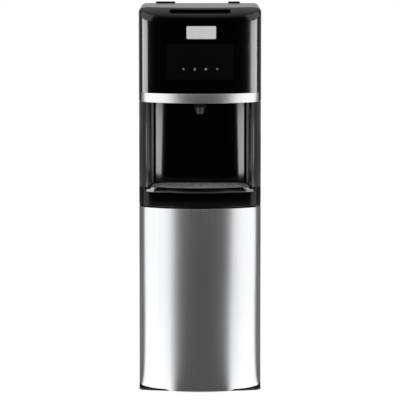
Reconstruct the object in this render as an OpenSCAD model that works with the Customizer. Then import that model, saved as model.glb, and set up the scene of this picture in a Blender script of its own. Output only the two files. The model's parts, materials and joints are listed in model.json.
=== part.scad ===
// Water dispenser that loads its bottle from below: a bowed steel door under a tap recess and a gloss head.
// All sizes are in millimetres. Inside the modules y runs back from the front of the head, and from_front
// then puts the middle of the whole depth on y = 0. The floor is z = 0 and the front faces -Y.

/* [Cabinet] */
// Width across the head and the base
body_w = 334; // [326:1:350]
// Depth from the front of the head to the back of the condenser spacers
body_d = 355; // [352:1:390]
// Height of the flat top of the head
body_h = 1050; // [1040:1:1100]
// Radius of the shallow bow that the front follows in plan
bow_r = 255; // [250:1:280]
// Radius of the front corners in plan
corner_r = 60; // [56:1:66]
// How far the door, the pillars and the side panels lie inside the outline of the head
skin_in = 1.5; // [1:0.25:2.5]
// Thickness of the painted sheet steel
sheet_t = 1.2; // [0.8:0.1:1.5]
// Wall of the moulded pieces
wall_t = 2.5; // [2:0.1:3]
// Gap between pieces that seat on each other
seat_gap = 0.3; // [0.1:0.1:0.4]
// Depth of the space behind the rear panels that holds the condenser
rear_space = 16; // [16:0.5:20]
// Width of the folded edges of the side panels, at the back
flange_w = 14; // [10:1:16]
// Width of the folded edges of the side panels, beside the door opening
frame_w = 26; // [22:1:27]

/* [Base] */
// Height of the feet under the base
foot_h = 2; // [2:0.5:6]
// Radius of a foot
foot_r = 16; // [12:1:20]
// Distance of the feet from the sides of the base
foot_in = 34; // [30:1:50]
// Thickness of the base in front of the bottle floor
base_t = 5; // [4:0.5:8]
// Height of the bottle floor above the base
deck_h = 7; // [5:0.5:10]
// Radius of the bow of the base
base_bow_r = 600; // [500:10:800]
// Radius of the corners of the base
base_corner_r = 22; // [18:1:30]
// How far the base lies behind the front of the head
base_in = 20; // [16:1:24]

/* [Door] */
// Gap between the door and the base below it
door_gap = 1.5; // [1:0.5:3]
// Thickness of the steel skin of the door
skin_t = 1; // [0.6:0.1:1.4]
// Wall of the moulding inside the door
door_wall_t = 3; // [2.5:0.1:3.5]
// Width of the folded edges of the door skin
hem_w = 8; // [5:0.5:10]
// Radius of the barrel that the door turns on
barrel_r = 11; // [10:0.5:11.5]
// How far the hinge axis lies in front of the back edge of the door
hinge_in = 11; // [10.5:0.5:12]
// Radius of the hinge pins
pin_r = 3; // [2:0.25:4]
// Length of a hinge pin inside the door
pin_grip = 18; // [12:1:30]
// Radial clearance of a pin or a shaft that turns
run_gap = 0.06; // [0.02:0.01:0.1]

/* [Bottle space] */
// Room between the bottle ring and the back wall of the bottle space
ring_gap = 25; // [20:1:40]
// Height of the ring that centres the bottle
ring_h = 3; // [2:0.5:5]
// Radius of the back corners of the bottle space
liner_corner_r = 22; // [10:1:30]
// Height of the mid shelf above the dock plate that holds the probe
dock_drop = 86; // [80:1:110]
// Radius of the probe tube
probe_r = 7; // [5:0.5:9]
// Radius of the bottle cap on the probe
probe_cap_r = 21; // [18:0.5:23]
// Height of the bottle cap on the probe
probe_cap_h = 25; // [18:1:30]
// Height of the end of the probe above the bottle floor
probe_foot = 36; // [30:1:60]
// Outer radius of the water hoses
hose_r = 4.5; // [3.5:0.25:5]

/* [Tray] */
// Gap between the door and the tray housing above it
housing_gap = 4; // [3:0.5:6]
// Height of the tray housing
housing_h = 51; // [46:1:60]
// Height of the bevel along the top of the tray housing
bevel_h = 12; // [8:1:14]
// Depth of the bevel along the top of the tray housing
bevel_in = 12; // [8:1:12]
// Half width of the stretch of the housing that has the bevel
bevel_x = 148; // [140:1:150]
// Height of the drip tray
tray_h = 33; // [28:1:36]
// Gap round the drip tray in its housing
tray_gap = 1; // [0.8:0.1:2]
// Thickness of the tray grille
grille_t = 1.8; // [1.4:0.1:3]
// Radius of a hole of the grille
mesh_r = 3; // [2:0.25:3.5]
// Distance between the holes of the grille
mesh_pitch = 10; // [9.5:0.5:14]
// Radius of the large hole under the nozzle
splash_r = 15.5; // [12:0.5:18]
// Radius of the finger holes of the grille
finger_r = 7.5; // [7:0.5:9]
// Distance of the finger holes from the middle of the grille
finger_x = 104; // [90:1:106]

/* [Recess] */
// Height of the tap recess
recess_h = 232; // [200:1:260]
// Half width of the recess, with its sides carried on to the front of the head
recess_x = 145; // [140:1:146]
// How far each side of the recess leans in between the front of the head and its back corner
recess_lean = 12; // [8:0.5:16]
// Radius of the back corners of the recess
recess_corner_r = 42; // [30:1:50]
// Depth of the seam between a pillar and the recess liner
seam_y = 101; // [100:1:110]

/* [Nozzle] */
// Depth of the nozzle behind the front of the head
nozzle_y = 96; // [90:1:110]
// Radius of the collar of the nozzle
collar_r = 16.3; // [14:0.1:18]
// Height of the collar of the nozzle
collar_h = 17; // [12:0.5:20]
// Radius of the top of the nozzle cup
cup_r = 14.3; // [12:0.1:15]
// Radius of the mouth of the nozzle cup
mouth_r = 11; // [9.5:0.1:12]
// Height of the nozzle cup below its collar
cup_h = 18.5; // [14:0.5:24]
// Radius of a spout inside the nozzle
spout_r = 3; // [2:0.1:3.5]
// Distance of a spout from the middle of the nozzle
spout_x = 3.9; // [3.7:0.1:5]

/* [Head] */
// Height of the head above the ceiling of the recess
head_h = 257; // [250:1:264]
// Height of the chrome band
band_h = 25.6; // [20:0.2:32]
// Half width of the chrome band
band_x = 160; // [150:1:161]
// Height of the rounded front edge of the head
nose_h = 38; // [34:1:50]
// How far the flat top lies inside the outline of the head, at the front
nose_in = 18; // [14:0.5:24]
// Radius of the top edge at the sides of the head
side_r = 16; // [8:0.5:18]
// Width of the vent slot in the rounded edge
vent_w = 166; // [120:1:180]
// Height of the vent slot
vent_h = 11; // [8:0.5:13]
// Distance from the middle of the vent slot to the top of the head
vent_drop = 10.2; // [10:0.5:14]
// Distance of the vent ribs from the middle
vent_rib_x = 27; // [15:1:40]
// Width of the bare plate on the fascia
plate_w = 80; // [50:1:110]
// Height of the bare plate on the fascia
plate_h = 35.6; // [20:0.2:44]
// Distance from the middle of the plate to the top of the head
plate_drop = 65; // [62:1:70]
// Width of the touch window
window_w = 185; // [120:1:210]
// Height of the touch window
window_h = 96.5; // [60:0.5:104]
// Distance from the middle of the touch window to the top of the head
window_drop = 145; // [144:1:160]
// Height of the lugs on the back of the top
lug_h = 5; // [3:0.5:8]

/* [Inner parts] */
// Radius of the cold tank
cold_r = 58; // [45:1:60]
// Height of the cold tank
cold_h = 160; // [120:1:170]
// Thickness of the foam round the cold tank, with the coil's space
foam_t = 21; // [18:0.5:22]
// Number of turns of the evaporator coil
coil_turns = 7; // [4:1:9]
// Radius of the hot tank
hot_r = 44; // [35:1:46]
// Height of the hot tank
hot_h = 130; // [100:1:150]
// Thickness of the jacket round the hot tank
jacket_t = 14; // [8:1:16]
// Radius of the compressor shell
comp_r = 60; // [50:1:62]
// Height of the compressor above its grommets
comp_h = 165; // [120:1:190]
// Radius of the refrigerant pipes
pipe_r = 2.5; // [2:0.25:3]
// Number of runs of the condenser
cond_runs = 13; // [6:1:15]
// Distance between the runs of the condenser
cond_pitch = 28; // [20:1:28]
// Half width of the condenser
cond_x = 138; // [110:1:140]
// Number of wires of the condenser
wire_n = 32; // [10:1:40]
// Radius of a wire of the condenser
wire_r = 0.8; // [0.6:0.1:1]

/* [Hidden] */
$fn = 72;
eps = 0.01;
big = 1000;

// Steps of the bow and of each corner where a curve is drawn as straight pieces
bow_steps = 28;
corner_steps = 10;
nose_steps = 6;

// Plan of the cabinet
hw = body_w / 2;
corner_y = bow_r - sqrt(pow(bow_r - corner_r, 2) - pow(hw - corner_r, 2));
panel_y = corner_y + 3;
panel_x = hw - skin_in;
inner_x = panel_x - sheet_t - seat_gap;
rear_y = body_d - rear_space;
rear_in = rear_y - sheet_t;
flange_back = rear_in - seat_gap - sheet_t;
liner_y0 = panel_y + sheet_t + seat_gap;
liner_y1 = flange_back - seat_gap;
// The recess takes half of the depth, and the cooling the rest
recess_y = body_d / 2 + 0.5;
// The ring that centres the bottle, in the depth of the bottle space
ring_y0 = base_in + 9;
ring_w = 6;
bottle_r = (liner_y1 - ring_gap - ring_y0) / 2 - ring_w;
bottle_y = ring_y0 + ring_w + bottle_r;

// Heights of the seams
base_z = foot_h + base_t;
deck_z = base_z + deck_h;
door_z0 = base_z + door_gap;
ceiling_z = body_h - head_h;
tray_z = ceiling_z - recess_h;
housing_z = tray_z - housing_h;
door_z1 = housing_z - housing_gap;
shelf_z = housing_z + 6;
head_z = ceiling_z + wall_t + seat_gap;
tank_z = head_z + 1;
nose_z = body_h - nose_h;

// Door
door_rear = corner_y - 1;
hinge_y = door_rear - hinge_in;
core_in = skin_in + skin_t + 0.2;
hinge_x = hw - corner_r + sqrt(pow(corner_r - core_in - barrel_r, 2) - pow(corner_y - hinge_y, 2));

// Tray
well_in = skin_in + bevel_in + 0.5;
well_z = tray_z - tray_h - 2;
tray_floor_z = well_z + seat_gap;
tray_top = tray_z - 1;
grille_seat_z = tray_top - grille_t - seat_gap;

// Probe and pump, in the back left corner of the bottle space
probe_x = -(inner_x - probe_cap_r - wall_t - 4);
probe_y = liner_y1 - probe_cap_r - wall_t - 4;
probe_plate_t = 5;
dock_z = shelf_z - dock_drop;
cap_z = dock_z + probe_plate_t + seat_gap;
probe_l = cap_z - deck_z - probe_foot;
barb_r = hose_r - 1;
barb_z = shelf_z - 2;
pump_z = shelf_z + sheet_t + seat_gap;
pump_foot_h = 12;
pump_h = 72;
pump_r = min(20, probe_cap_r - 1);

// Tanks, on the tank shelf
tank_floor = tank_z + sheet_t + seat_gap;
foam_r = cold_r + foam_t;
cold_x = -(inner_x - foam_r - 6);
cold_y = recess_y + 44;
foam_base_t = 18;
foam_gap = 7;
coil_r = cold_r + pipe_r + 0.8;
jacket_r = hot_r + jacket_t;
hot_x = inner_x - jacket_r - 8;
hot_y = recess_y + 62;
jacket_base_t = 12;

// Compressor, on the mid shelf
comp_x = 32;
comp_y = rear_in - comp_r - 12;
grommet_h = 10;
comp_z = pump_z + grommet_h + seat_gap;
comp_foot_t = 3;

// Condenser, behind the rear panels
cond_z = tray_z + 20;
cond_y = rear_y + rear_space - wire_r * 2 - pipe_r - 2;
bend_r = cond_pitch / 2;
turn_r = 6;
run_x = cond_x - bend_r;
cond_top = cond_z + (cond_runs - 1) * cond_pitch;
wire_pitch = (2 * run_x - 8) / (wire_n - 1);
guard_z = ceiling_z - 88;

// Rear fittings
switch_x = inner_x - 68;
switch_z = body_h - nose_h - 34;
switch_pitch = 25;
switch_w = 16;
switch_h = 22.4;
rocker_tilt = 9;
port_x = 72 - inner_x;
port_z = tray_z - 22;
port_r = 8;
gland_x = inner_x - 38;
screw_r = 2;

// Points on an arc from angle a0 to angle a1, in n steps, with the ends that keep names
function arc_pts(c, r, a0, a1, n, first = 0, last = 0) =
  [for (i = [first:n - last]) let (a = a0 + (a1 - a0) * i / n) c + r * [cos(a), sin(a)]];

// Front outline in plan, from the left side round to the right: a bow between two rounded corners. It is
// half_w wide each side, lies y0 behind the front and is set in by d all round.
function front_pts(d, half_w, rb, rc, y0) =
  let (k = rb - rc, cx = half_w - rc, a = asin(cx / k), cy = y0 + rb - k * cos(a))
  concat(arc_pts([-cx, cy], rc - d, 180, 270 - a, corner_steps),
    arc_pts([0, y0 + rb], rb - d, 270 - a, 270 + a, bow_steps, 1, 1),
    arc_pts([cx, cy], rc - d, 270 + a, 360, corner_steps));

// Outline of the head in plan, set in by d, cut off straight at y = back
function plan_pts(d, back) =
  concat([[d - hw, back]], front_pts(d, hw, bow_r, corner_r, 0), [[hw - d, back]]);

// Outline of the recess in plan, set in by d. Each side leans in towards a rounded back corner.
function recess_pts(d) =
  let (y1 = recess_y - recess_corner_r, lean = atan2(recess_lean, y1), r = recess_corner_r - d,
    side = [cos(lean), sin(lean)], cx = recess_x - recess_lean - recess_corner_r * side[0])
  let (near = [cx, y1] + r * side, far = near + (y1 + 60) * [side[1], -side[0]])
  concat([[-far[0], far[1]], far], arc_pts([cx, y1], r, lean, 90, corner_steps),
    arc_pts([-cx, y1], r, 90, 180 - lean, corner_steps));

// How far the rounded top edge of the head is set in at angle a, from 0 at its foot to nose_end at the top
function nose_in_at(a) = nose_in * (1 - cos(a)) / (1 - cos(nose_end));
nose_end = 65;

module from_front() {
  translate([0, -body_d / 2, 0]) children();
}

module half_plane(back) {
  translate([-big, -big]) square([2 * big, big + back]);
}

module plan_2d(d, back) {
  intersection() {
    polygon(plan_pts(d, max(back, corner_y + 1)));
    half_plane(back);
  }
}

// The plan in front of the side panels, and the space between them behind
module cabinet_2d(d, back) {
  plan_2d(d, min(back, panel_y - 1.5));
  translate([-inner_x, corner_y - 20]) square([2 * inner_x, back - corner_y + 20]);
}

module recess_2d(d) {
  polygon(recess_pts(d));
}

module rounded_2d(w, h, r) {
  square([w, h - 2 * r], center = true);
  square([w - 2 * r, h], center = true);
  for (x = [-1, 1], y = [-1, 1]) translate([x * (w / 2 - r), y * (h / 2 - r)]) circle(r);
}

// A slab from height z0 to height z1
module slab(z0, z1) {
  translate([0, 0, z0]) linear_extrude(z1 - z0) children();
}

// A flat shape in x and z, pushed back from y0 to y1
module pushed(y0, y1) {
  translate([0, y1, 0]) rotate([90, 0, 0]) linear_extrude(y1 - y0) children();
}

// A rod along y
module rod_y(x, z, y0, y1, r) {
  pushed(y0, y1) translate([x, z]) circle(r);
}

module rod_z(x, y, z0, z1, r) {
  translate([x, y, z0]) cylinder(h = z1 - z0, r = r);
}

module block(x0, y0, z0, x1, y1, z1) {
  translate([x0, y0, z0]) cube([x1 - x0, y1 - y0, z1 - z0]);
}

// A closed skin over rings of points, each ring turning to the left seen from above
module loft(rings, split = false) {
  n = len(rings[0]);
  m = len(rings);
  polyhedron([for (ring = rings) for (p = ring) p],
    concat([[for (j = [0:n - 1]) j]],
      [for (i = [0:m - 2], j = [0:n - 1])
        let (k = (j + 1) % n, p = [i * n + j, (i + 1) * n + j], q = [(i + 1) * n + k, i * n + k])
          each split ? [[p[0], p[1], q[0]], [p[0], q[0], q[1]]] : [concat(p, q)]],
      [[for (j = [n - 1:-1:0]) (m - 1) * n + j]]));
}

function ring_at(pts, z) = [for (p = pts) [p[0], p[1], z]];

// Centre, radius and angle of each point of the outline of the head, from the left side to the right
function head_rays(back) =
  let (cx = hw - corner_r, a = bow_half)
  concat([[[-cx, back], corner_r, 180]],
    [for (i = [0:corner_steps]) [[-cx, corner_y], corner_r, 180 + (90 - a) * i / corner_steps]],
    [for (i = [1:bow_steps - 1]) [[0, bow_r], bow_r, 270 - a + 2 * a * i / bow_steps]],
    [for (i = [0:corner_steps]) [[cx, corner_y], corner_r, 270 + a + (90 - a) * i / corner_steps]],
    [[[cx, back], corner_r, 360]]);
bow_half = asin((hw - corner_r) / (bow_r - corner_r));

// How far a ray at this angle has turned from the bow, 0, to the side, 1, with a soft start and end
function side_share(angle) =
  let (u = max(0, (abs(angle - 270) - bow_half) / (90 - bow_half))) u * u * (3 - 2 * u);

// One ring of the rounded top edge, set in by d, for t from 0 at its foot to 1 at the flat top. The front
// rolls in to nose_end and leaves a crease. The sides turn by a right angle on side_r.
function nose_ring(d, t, back) =
  let (a = nose_end * t, front_lift = (nose_h - d) * sin(a) / sin(nose_end) - nose_h,
    side_lift = (side_r - d) * sin(90 * t) - side_r, side_in = (side_r - d) * (1 - cos(90 * t)))
  [for (ray = head_rays(back)) let (w = side_share(ray[2]), dir = [cos(ray[2]), sin(ray[2])],
    p = ray[0] + (ray[1] - d - nose_in_at(a) * (1 - w) - side_in * w) * dir)
    [p[0], p[1], body_h + front_lift * (1 - w) + side_lift * w]];

// The solid head, set in by d, from z0 up: straight walls that round in to the flat top
module head_solid(d, z0, back) {
  loft(concat([ring_at(plan_pts(d, back), z0)],
    [for (i = [0:nose_steps]) nose_ring(d, i / nose_steps, back)]), split = true);
}

module head_shell(d0, d1, z0) {
  difference() {
    head_solid(d0, z0, top_back);
    head_solid(d1, z0 - 1, top_back - wall_t);
  }
}
top_back = rear_y + 6;

// A patch of the bowed front, from set-in d0 to set-in d1, cut to the flat shape that it is given
module front_patch(d0, d1, z0, z1) {
  intersection() {
    slab(z0, z1) difference() {
      plan_2d(d0, corner_y);
      plan_2d(d1, corner_y + 1);
    }
    pushed(-2, corner_y) children();
  }
}

// Unit vector along a, and points of a pipe: a ring of sides points square to the path at each point
function unit(a) = a / norm(a);
function tangent(path, i) =
  unit(path[min(i + 1, len(path) - 1)] - path[max(i - 1, 0)]);
function across(t) = unit(cross(t, abs(t[2]) < 0.9 ? [0, 0, 1] : [0, 1, 0]));
function pipe_ring(c, t, side, r, sides) =
  let (u = unit(side - t * (side * t)), v = cross(t, u))
  [for (j = [0:sides - 1]) c + r * (u * cos(360 * j / sides) + v * sin(360 * j / sides))];
function carried(path, i, side) =
  i == 0 ? side : let (s = carried(path, i - 1, side), t = tangent(path, i)) unit(s - t * (s * t));

// A pipe of radius r along a path
module pipe(path, r, sides = 8) {
  side = across(tangent(path, 0));
  rings = [for (i = [0:len(path) - 1])
    pipe_ring(path[i], tangent(path, i), carried(path, i, side), r, sides)];
  loft(rings);
}

// A path through corner points whose corners are rounded to radius r, in n steps each
function rounded_path(pts, r, n = 4) =
  concat([pts[0]],
    [for (i = [1:len(pts) - 2]) let (a = unit(pts[i - 1] - pts[i]), b = unit(pts[i + 1] - pts[i]))
      for (k = [0:n]) let (t = k / n) pts[i] + r * (a * pow(1 - t, 2) + b * pow(t, 2))],
    [pts[len(pts) - 1]]);

module base_plinth() color("#1b1c1e") from_front() {
  pts = front_pts(0, hw, base_bow_r, base_corner_r, base_in);
  difference() {
    union() {
      slab(foot_h, base_z) polygon(concat([[-hw, rear_y]], pts, [[hw, rear_y]]));
      block(-inner_x, liner_y0, base_z - eps, inner_x, rear_in - seat_gap, deck_z);
      // Guides that hold the side panels upright
      for (x = [-1, 1]) translate([x * (hw - 0.6), 0])
        block(-0.6, panel_y, base_z - eps, 0.6, rear_in, deck_z);
    }
    // Hollow underside with ribs across it
    for (x = [-1, 1], y = [0, 1])
      translate([x * (inner_x / 2), liner_y0 + 12 + (y + 0.5) * (rear_in - liner_y0 - 20) / 2])
        translate([0, 0, foot_h - 1])
          linear_extrude(deck_h + base_t - wall_t + 1 - 0.5)
            square([inner_x - 16, (rear_in - liner_y0 - 20) / 2 - 8], center = true);
    rod_z(hinge_x, hinge_y, foot_h - 1, base_z + 1, pin_r);
  }
  // Bosses of the feet inside the hollow
  for (x = [-1, 1]) rod_z(x * (hw - foot_in - 20), rear_in - foot_in - 14, foot_h, deck_z - wall_t, 9);
}

module foot_pads() color("#0d0d0e") from_front() {
  for (x = [-1, 1]) {
    rod_z(x * (hw - foot_in - 20), base_in + foot_in + foot_r, 0, foot_h, foot_r);
    rod_z(x * (hw - foot_in - 20), rear_in - foot_in - 14, 0, foot_h, foot_r);
  }
}

// A side panel: a steel sheet with its front and back edges folded in
module side_panel(side) {
  z0 = base_z + seat_gap;
  z1 = nose_z - seat_gap;
  mirror([side < 0 ? 1 : 0, 0, 0]) {
    block(panel_x - sheet_t, panel_y, z0, panel_x, rear_in - seat_gap, z1);
    block(panel_x - frame_w, panel_y, deck_z + seat_gap, panel_x, panel_y + sheet_t, shelf_z - seat_gap);
    block(panel_x - flange_w, rear_in - seat_gap - sheet_t, deck_z + seat_gap,
      panel_x, rear_in - seat_gap, z1);
  }
}

module left_side_panel() color("#26272a") from_front() {
  side_panel(-1);
}

module right_side_panel() color("#26272a") from_front() {
  side_panel(1);
}

// Places of the screws along the edges of a rear panel, as x and z
function edge_screws(z0, z1, n) =
  [for (x = [-1, 1], i = [0:n - 1]) [x * (panel_x - flange_w / 2), z0 + 20 + i * (z1 - z0 - 40) / (n - 1)]];
lower_screws = edge_screws(deck_z, shelf_z, 3);
guard_screws = edge_screws(shelf_z, guard_z, 2);
upper_screws = edge_screws(guard_z, nose_z, 3);

module rear_sheet(z0, z1, screws) {
  difference() {
    block(-panel_x, rear_in, z0, panel_x, rear_y, z1);
    for (p = screws) rod_y(p[0], p[1], rear_in - 1, rear_y + 1, screw_r + 0.1);
  }
}

module lower_rear_panel() color("#303236") from_front() {
  rear_sheet(deck_z + seat_gap, shelf_z - seat_gap, lower_screws);
}

module upper_rear_panel() color("#303236") from_front() {
  difference() {
    rear_sheet(guard_z + seat_gap, nose_z - seat_gap, upper_screws);
    // Opening for the bodies of the switches
    block(switch_x - switch_pitch - switch_w / 2 - 2, rear_in - 1, switch_z - switch_h / 2 - 2,
      switch_x + switch_pitch + switch_w / 2 + 2, rear_y + 1, switch_z + switch_h / 2 + 2);
    // Holes that the refrigerant pipes come out of
    rod_y(pipe_out_x, pipe_out_z, rear_in - 1, rear_y + 1, pipe_r + 1.5);
  }
}

// The vented cover over the compressor: rows of slots with rounded ends
module compressor_guard() color("#303236") from_front() {
  slot_w = 46;
  slot_h = 6;
  rows = 7;
  difference() {
    rear_sheet(shelf_z + seat_gap, guard_z - seat_gap, guard_screws);
    for (row = [0:rows - 1], x = [-1.5:1:1.5])
      translate([x * (slot_w + 10), 0, shelf_z + 70 + row * (slot_h + 7)])
        pushed(rear_in - 1, rear_y + 1) rounded_2d(slot_w, slot_h, slot_h / 2 - eps);
    rod_y(port_x, port_z, rear_in - 1, rear_y + 1, port_r + seat_gap);
    rod_y(gland_x, port_z, rear_in - 1, rear_y + 1, 7);
    rod_y(pipe_back_x, pipe_back_z, rear_in - 1, rear_y + 1, pipe_r + 1.5);
  }
}

// The plastic wall round the bottle: open to the front, with rounded back corners
function liner_pts(d) =
  let (x = inner_x - d, y = liner_y1 - d, r = max(liner_corner_r - d, 2))
  concat([[-x, liner_y0 - (d > 0 ? 1 : 0)], [x, liner_y0 - (d > 0 ? 1 : 0)]],
    arc_pts([x - r, y - r], r, 0, 90, corner_steps), arc_pts([r - x, y - r], r, 90, 180, corner_steps));

module compartment_liner() color("#d9dadb") from_front() {
  slab(deck_z + seat_gap, shelf_z - seat_gap) difference() {
    polygon(liner_pts(0));
    polygon(liner_pts(wall_t));
  }
}

// The floor of the bottle space, with a ring that centres the bottle
module bottle_rest() color("#c9cacc") from_front() {
  z0 = deck_z + seat_gap;
  slab(z0, z0 + wall_t) intersection() {
    polygon(liner_pts(wall_t + seat_gap));
    half_plane(liner_y1);
    translate([-big, liner_y0 + seat_gap]) square([2 * big, big]);
  }
  intersection() {
    translate([0, bottle_y, z0]) rotate_extrude() translate([bottle_r + 2, 0])
      polygon([[0, wall_t - eps], [6, wall_t - eps], [4.5, wall_t + ring_h], [2, wall_t + ring_h]]);
    slab(z0, z0 + 20) intersection() {
      polygon(liner_pts(wall_t + 1));
      translate([-big, liner_y0 + 1]) square([2 * big, big]);
    }
  }
}

module mid_shelf() color("#8b8d90") from_front() {
  difference() {
    block(-inner_x, liner_y0, shelf_z, inner_x, flange_back - seat_gap, shelf_z + sheet_t);
    rod_z(probe_x, probe_y, shelf_z - 1, shelf_z + sheet_t + 1, hose_r + 3);
  }
}

module tank_shelf() color("#8b8d90") from_front() {
  difference() {
    union() {
      slab(tank_z, tank_z + sheet_t) intersection() {
        plan_2d(wall_t + skin_in + 1, panel_y);
        translate([-big, 52]) square([2 * big, big]);
      }
      block(-inner_x, panel_y, tank_z, inner_x, flange_back - seat_gap, tank_z + sheet_t);
    }
    rod_z(0, nozzle_y, tank_z - 1, tank_z + 5, spout_x + spout_r + 3);
    rod_z(probe_x, probe_y, tank_z - 1, tank_z + 5, hose_r + 3);
    for (x = [pipe_up_x, cond_start_x, suction_x]) rod_z(x, pipe_y, tank_z - 1, tank_z + 5, pipe_r + 2);
  }
}

module lug(x0, x1) {
  translate([0, 0, body_h - eps]) linear_extrude(lug_h + eps)
    translate([(x0 + x1) / 2, top_back - 9]) rounded_2d(x1 - x0, 12, 3);
}

// The lid of the head: the flat top inside the front edge, and the rounded skirt over the side panels
module top_cover() color("#202124") from_front() {
  intersection() {
    head_shell(0, wall_t, nose_z);
    union() {
      block(-big, panel_y, nose_z, big, big, body_h + 1);
      slab(body_h - wall_t, body_h + 1) plan_2d(nose_in + seat_gap, big);
    }
  }
  // Lugs on the back edge
  lug(-124, -70);
  lug(79, 112);
}

module vent_2d(grow) {
  h = vent_h + 2 * grow;
  w = vent_w + 2 * grow;
  translate([0, body_h - vent_drop]) rounded_2d(w, h, h / 2 - eps);
}

module plate_2d(grow) {
  translate([0, body_h - plate_drop]) rounded_2d(plate_w + 2 * grow, plate_h + 2 * grow, 3);
}

module window_2d(grow) {
  translate([0, body_h - window_drop]) rounded_2d(window_w + 2 * grow, window_h + 2 * grow, 6);
}

// The gloss front of the head, with a rounded top edge and seats for the band, the window and the plate
module front_fascia() color("#0b0b0c") from_front() {
  difference() {
    intersection() {
      head_shell(0, wall_t, head_z);
      block(-big, -1, head_z - 1, big, panel_y - seat_gap, body_h + 1);
    }
    slab(body_h - wall_t - seat_gap, body_h + 1) plan_2d(nose_in, big);
    front_patch(-1, band_t + seat_gap, ceiling_z - 1, ceiling_z + band_h + seat_gap)
      translate([-band_x - seat_gap, 0]) square([2 * (band_x + seat_gap), body_h]);
    front_patch(-1, window_t + seat_gap, head_z, body_h) window_2d(seat_gap);
    front_patch(-1, plate_t - plate_out + seat_gap, head_z, body_h) plate_2d(seat_gap);
    pushed(-1, 60) vent_2d(0);
  }
  // Posts that carry the touch board
  intersection() {
    for (x = [-1, 1], z = [-1, 1])
      rod_y(x * board_post_x, body_h - window_drop + z * board_post_z, 0, board_y, 4);
    slab(head_z, body_h) plan_2d(wall_t - eps, corner_y);
  }
}
band_t = 1.6;
window_t = 1.2;
plate_t = 1.2;
plate_out = 0.5;
board_post_x = 62;
board_post_z = 30;
board_y = bow_r - sqrt(pow(bow_r, 2) - pow(board_post_x + 14, 2)) + wall_t + 3;

// The dark insert behind the vent slot, in three cells
module vent_insert() color("#050506") from_front() {
  difference() {
    intersection() {
      difference() {
        head_solid(1, nose_z - 4, top_back);
        head_solid(8, nose_z - 5, top_back);
      }
      pushed(-1, 60) vent_2d(-seat_gap);
    }
    intersection() {
      difference() {
        head_solid(-1, nose_z - 5, top_back);
        head_solid(6, nose_z - 6, top_back);
      }
      pushed(-2, 60) difference() {
        vent_2d(-1.5);
        for (x = [-1, 1]) translate([x * vent_rib_x - 1, nose_z]) square([2, nose_h]);
      }
    }
  }
}

module bare_plate() color("#b9bbbd") from_front() {
  front_patch(-plate_out, plate_t - plate_out, head_z, body_h) plate_2d(0);
}

module touch_window() color("#101114") from_front() {
  front_patch(0.1, window_t, head_z, body_h) window_2d(0);
}

module touch_board() color("#1f5a37") from_front() {
  y0 = board_y + seat_gap;
  z = body_h - window_drop;
  pushed(y0, y0 + 1.6) translate([0, z]) rounded_2d(2 * board_post_x + 20, 2 * board_post_z + 16, 2);
  // Touch springs and the plug on the board
  for (x = [-1.5:1:1.5]) rod_y(x * 30.5, z - 18, y0 + 1.6 - eps, y0 + 5, 4);
  block(-14, y0 + 1.6 - eps, z + 6, 14, y0 + 10, z + 16);
}

module chrome_band() color("#d8dadc") from_front() {
  front_patch(-0.4, band_t, ceiling_z, ceiling_z + band_h)
    translate([-band_x, 0]) square([2 * band_x, body_h]);
}

// The back of the tap recess: leaning sides, rounded back corners and the ceiling that holds the nozzle
module recess_liner() color("#0f1011") from_front() {
  difference() {
    slab(tray_z + seat_gap, ceiling_z + eps) difference() {
      recess_2d(-wall_t);
      recess_2d(0);
    }
    block(-big, -big, tray_z, big, seam_y, ceiling_z + 1);
  }
  difference() {
    slab(ceiling_z, ceiling_z + wall_t) cabinet_2d(band_t + seat_gap, recess_y + wall_t);
    rod_z(0, nozzle_y, ceiling_z - 1, ceiling_z + wall_t + 1, spout_x + spout_r + 2);
    block(-lens_w / 2 - seat_gap, lens_y - 5 - seat_gap, ceiling_z - 1,
      lens_w / 2 + seat_gap, lens_y + 5 + seat_gap, ceiling_z + 5);
  }
}
lens_w = 34;
lens_y = 60;

module night_light_lens() color("#e8ecef") from_front() {
  block(-lens_w / 2, lens_y - 5, ceiling_z - 0.8, lens_w / 2, lens_y + 5, ceiling_z + wall_t);
}

// The rounded front corners beside the recess: a thin shell, open to the back
module corner_pillars() color("#141517") from_front() {
  difference() {
    slab(tray_z + seat_gap, ceiling_z - seat_gap) difference() {
      plan_2d(skin_in, panel_y - 1);
      recess_2d(0);
      difference() {
        plan_2d(skin_in + wall_t, panel_y);
        recess_2d(-wall_t);
      }
    }
    block(-recess_x, seam_y - seat_gap, tray_z, recess_x, big, ceiling_z);
  }
}

// The black band under the recess. It has a bevel along its top edge, and a well that the drip tray sits in.
module tray_housing() color("#121314") from_front() {
  difference() {
    union() {
      intersection() {
        loft([ring_at(plan_pts(skin_in, corner_y + 10), housing_z),
          ring_at(plan_pts(skin_in, corner_y + 10), tray_z - bevel_h),
          ring_at(plan_pts(skin_in + bevel_in, corner_y + 10), tray_z)]);
        block(-bevel_x, -1, 0, bevel_x, panel_y - 1.5, tray_z + 1);
      }
      slab(housing_z, tray_z) difference() {
        plan_2d(skin_in, panel_y - 1.5);
        translate([-bevel_x, -1]) square([2 * bevel_x, corner_y - 20]);
      }
      block(-inner_x, corner_y - 20, shelf_z + sheet_t + seat_gap, inner_x, recess_y + 7, tray_z);
    }
    // Hollow underside over the door
    slab(housing_z - 1, well_z - wall_t) difference() {
      plan_2d(skin_in + wall_t, corner_y - 6);
      translate([hinge_x, hinge_y]) circle(barrel_r - 1);
    }
    slab(well_z, tray_z + 1) well_2d(0);
    rod_z(hinge_x, hinge_y, housing_z - 1, housing_z + 6, pin_r);
  }
}

// The footprint of the well in the tray housing, set in by d
module well_2d(d) {
  intersection() {
    plan_2d(well_in + d, big);
    recess_2d(1 + d);
  }
}

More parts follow.
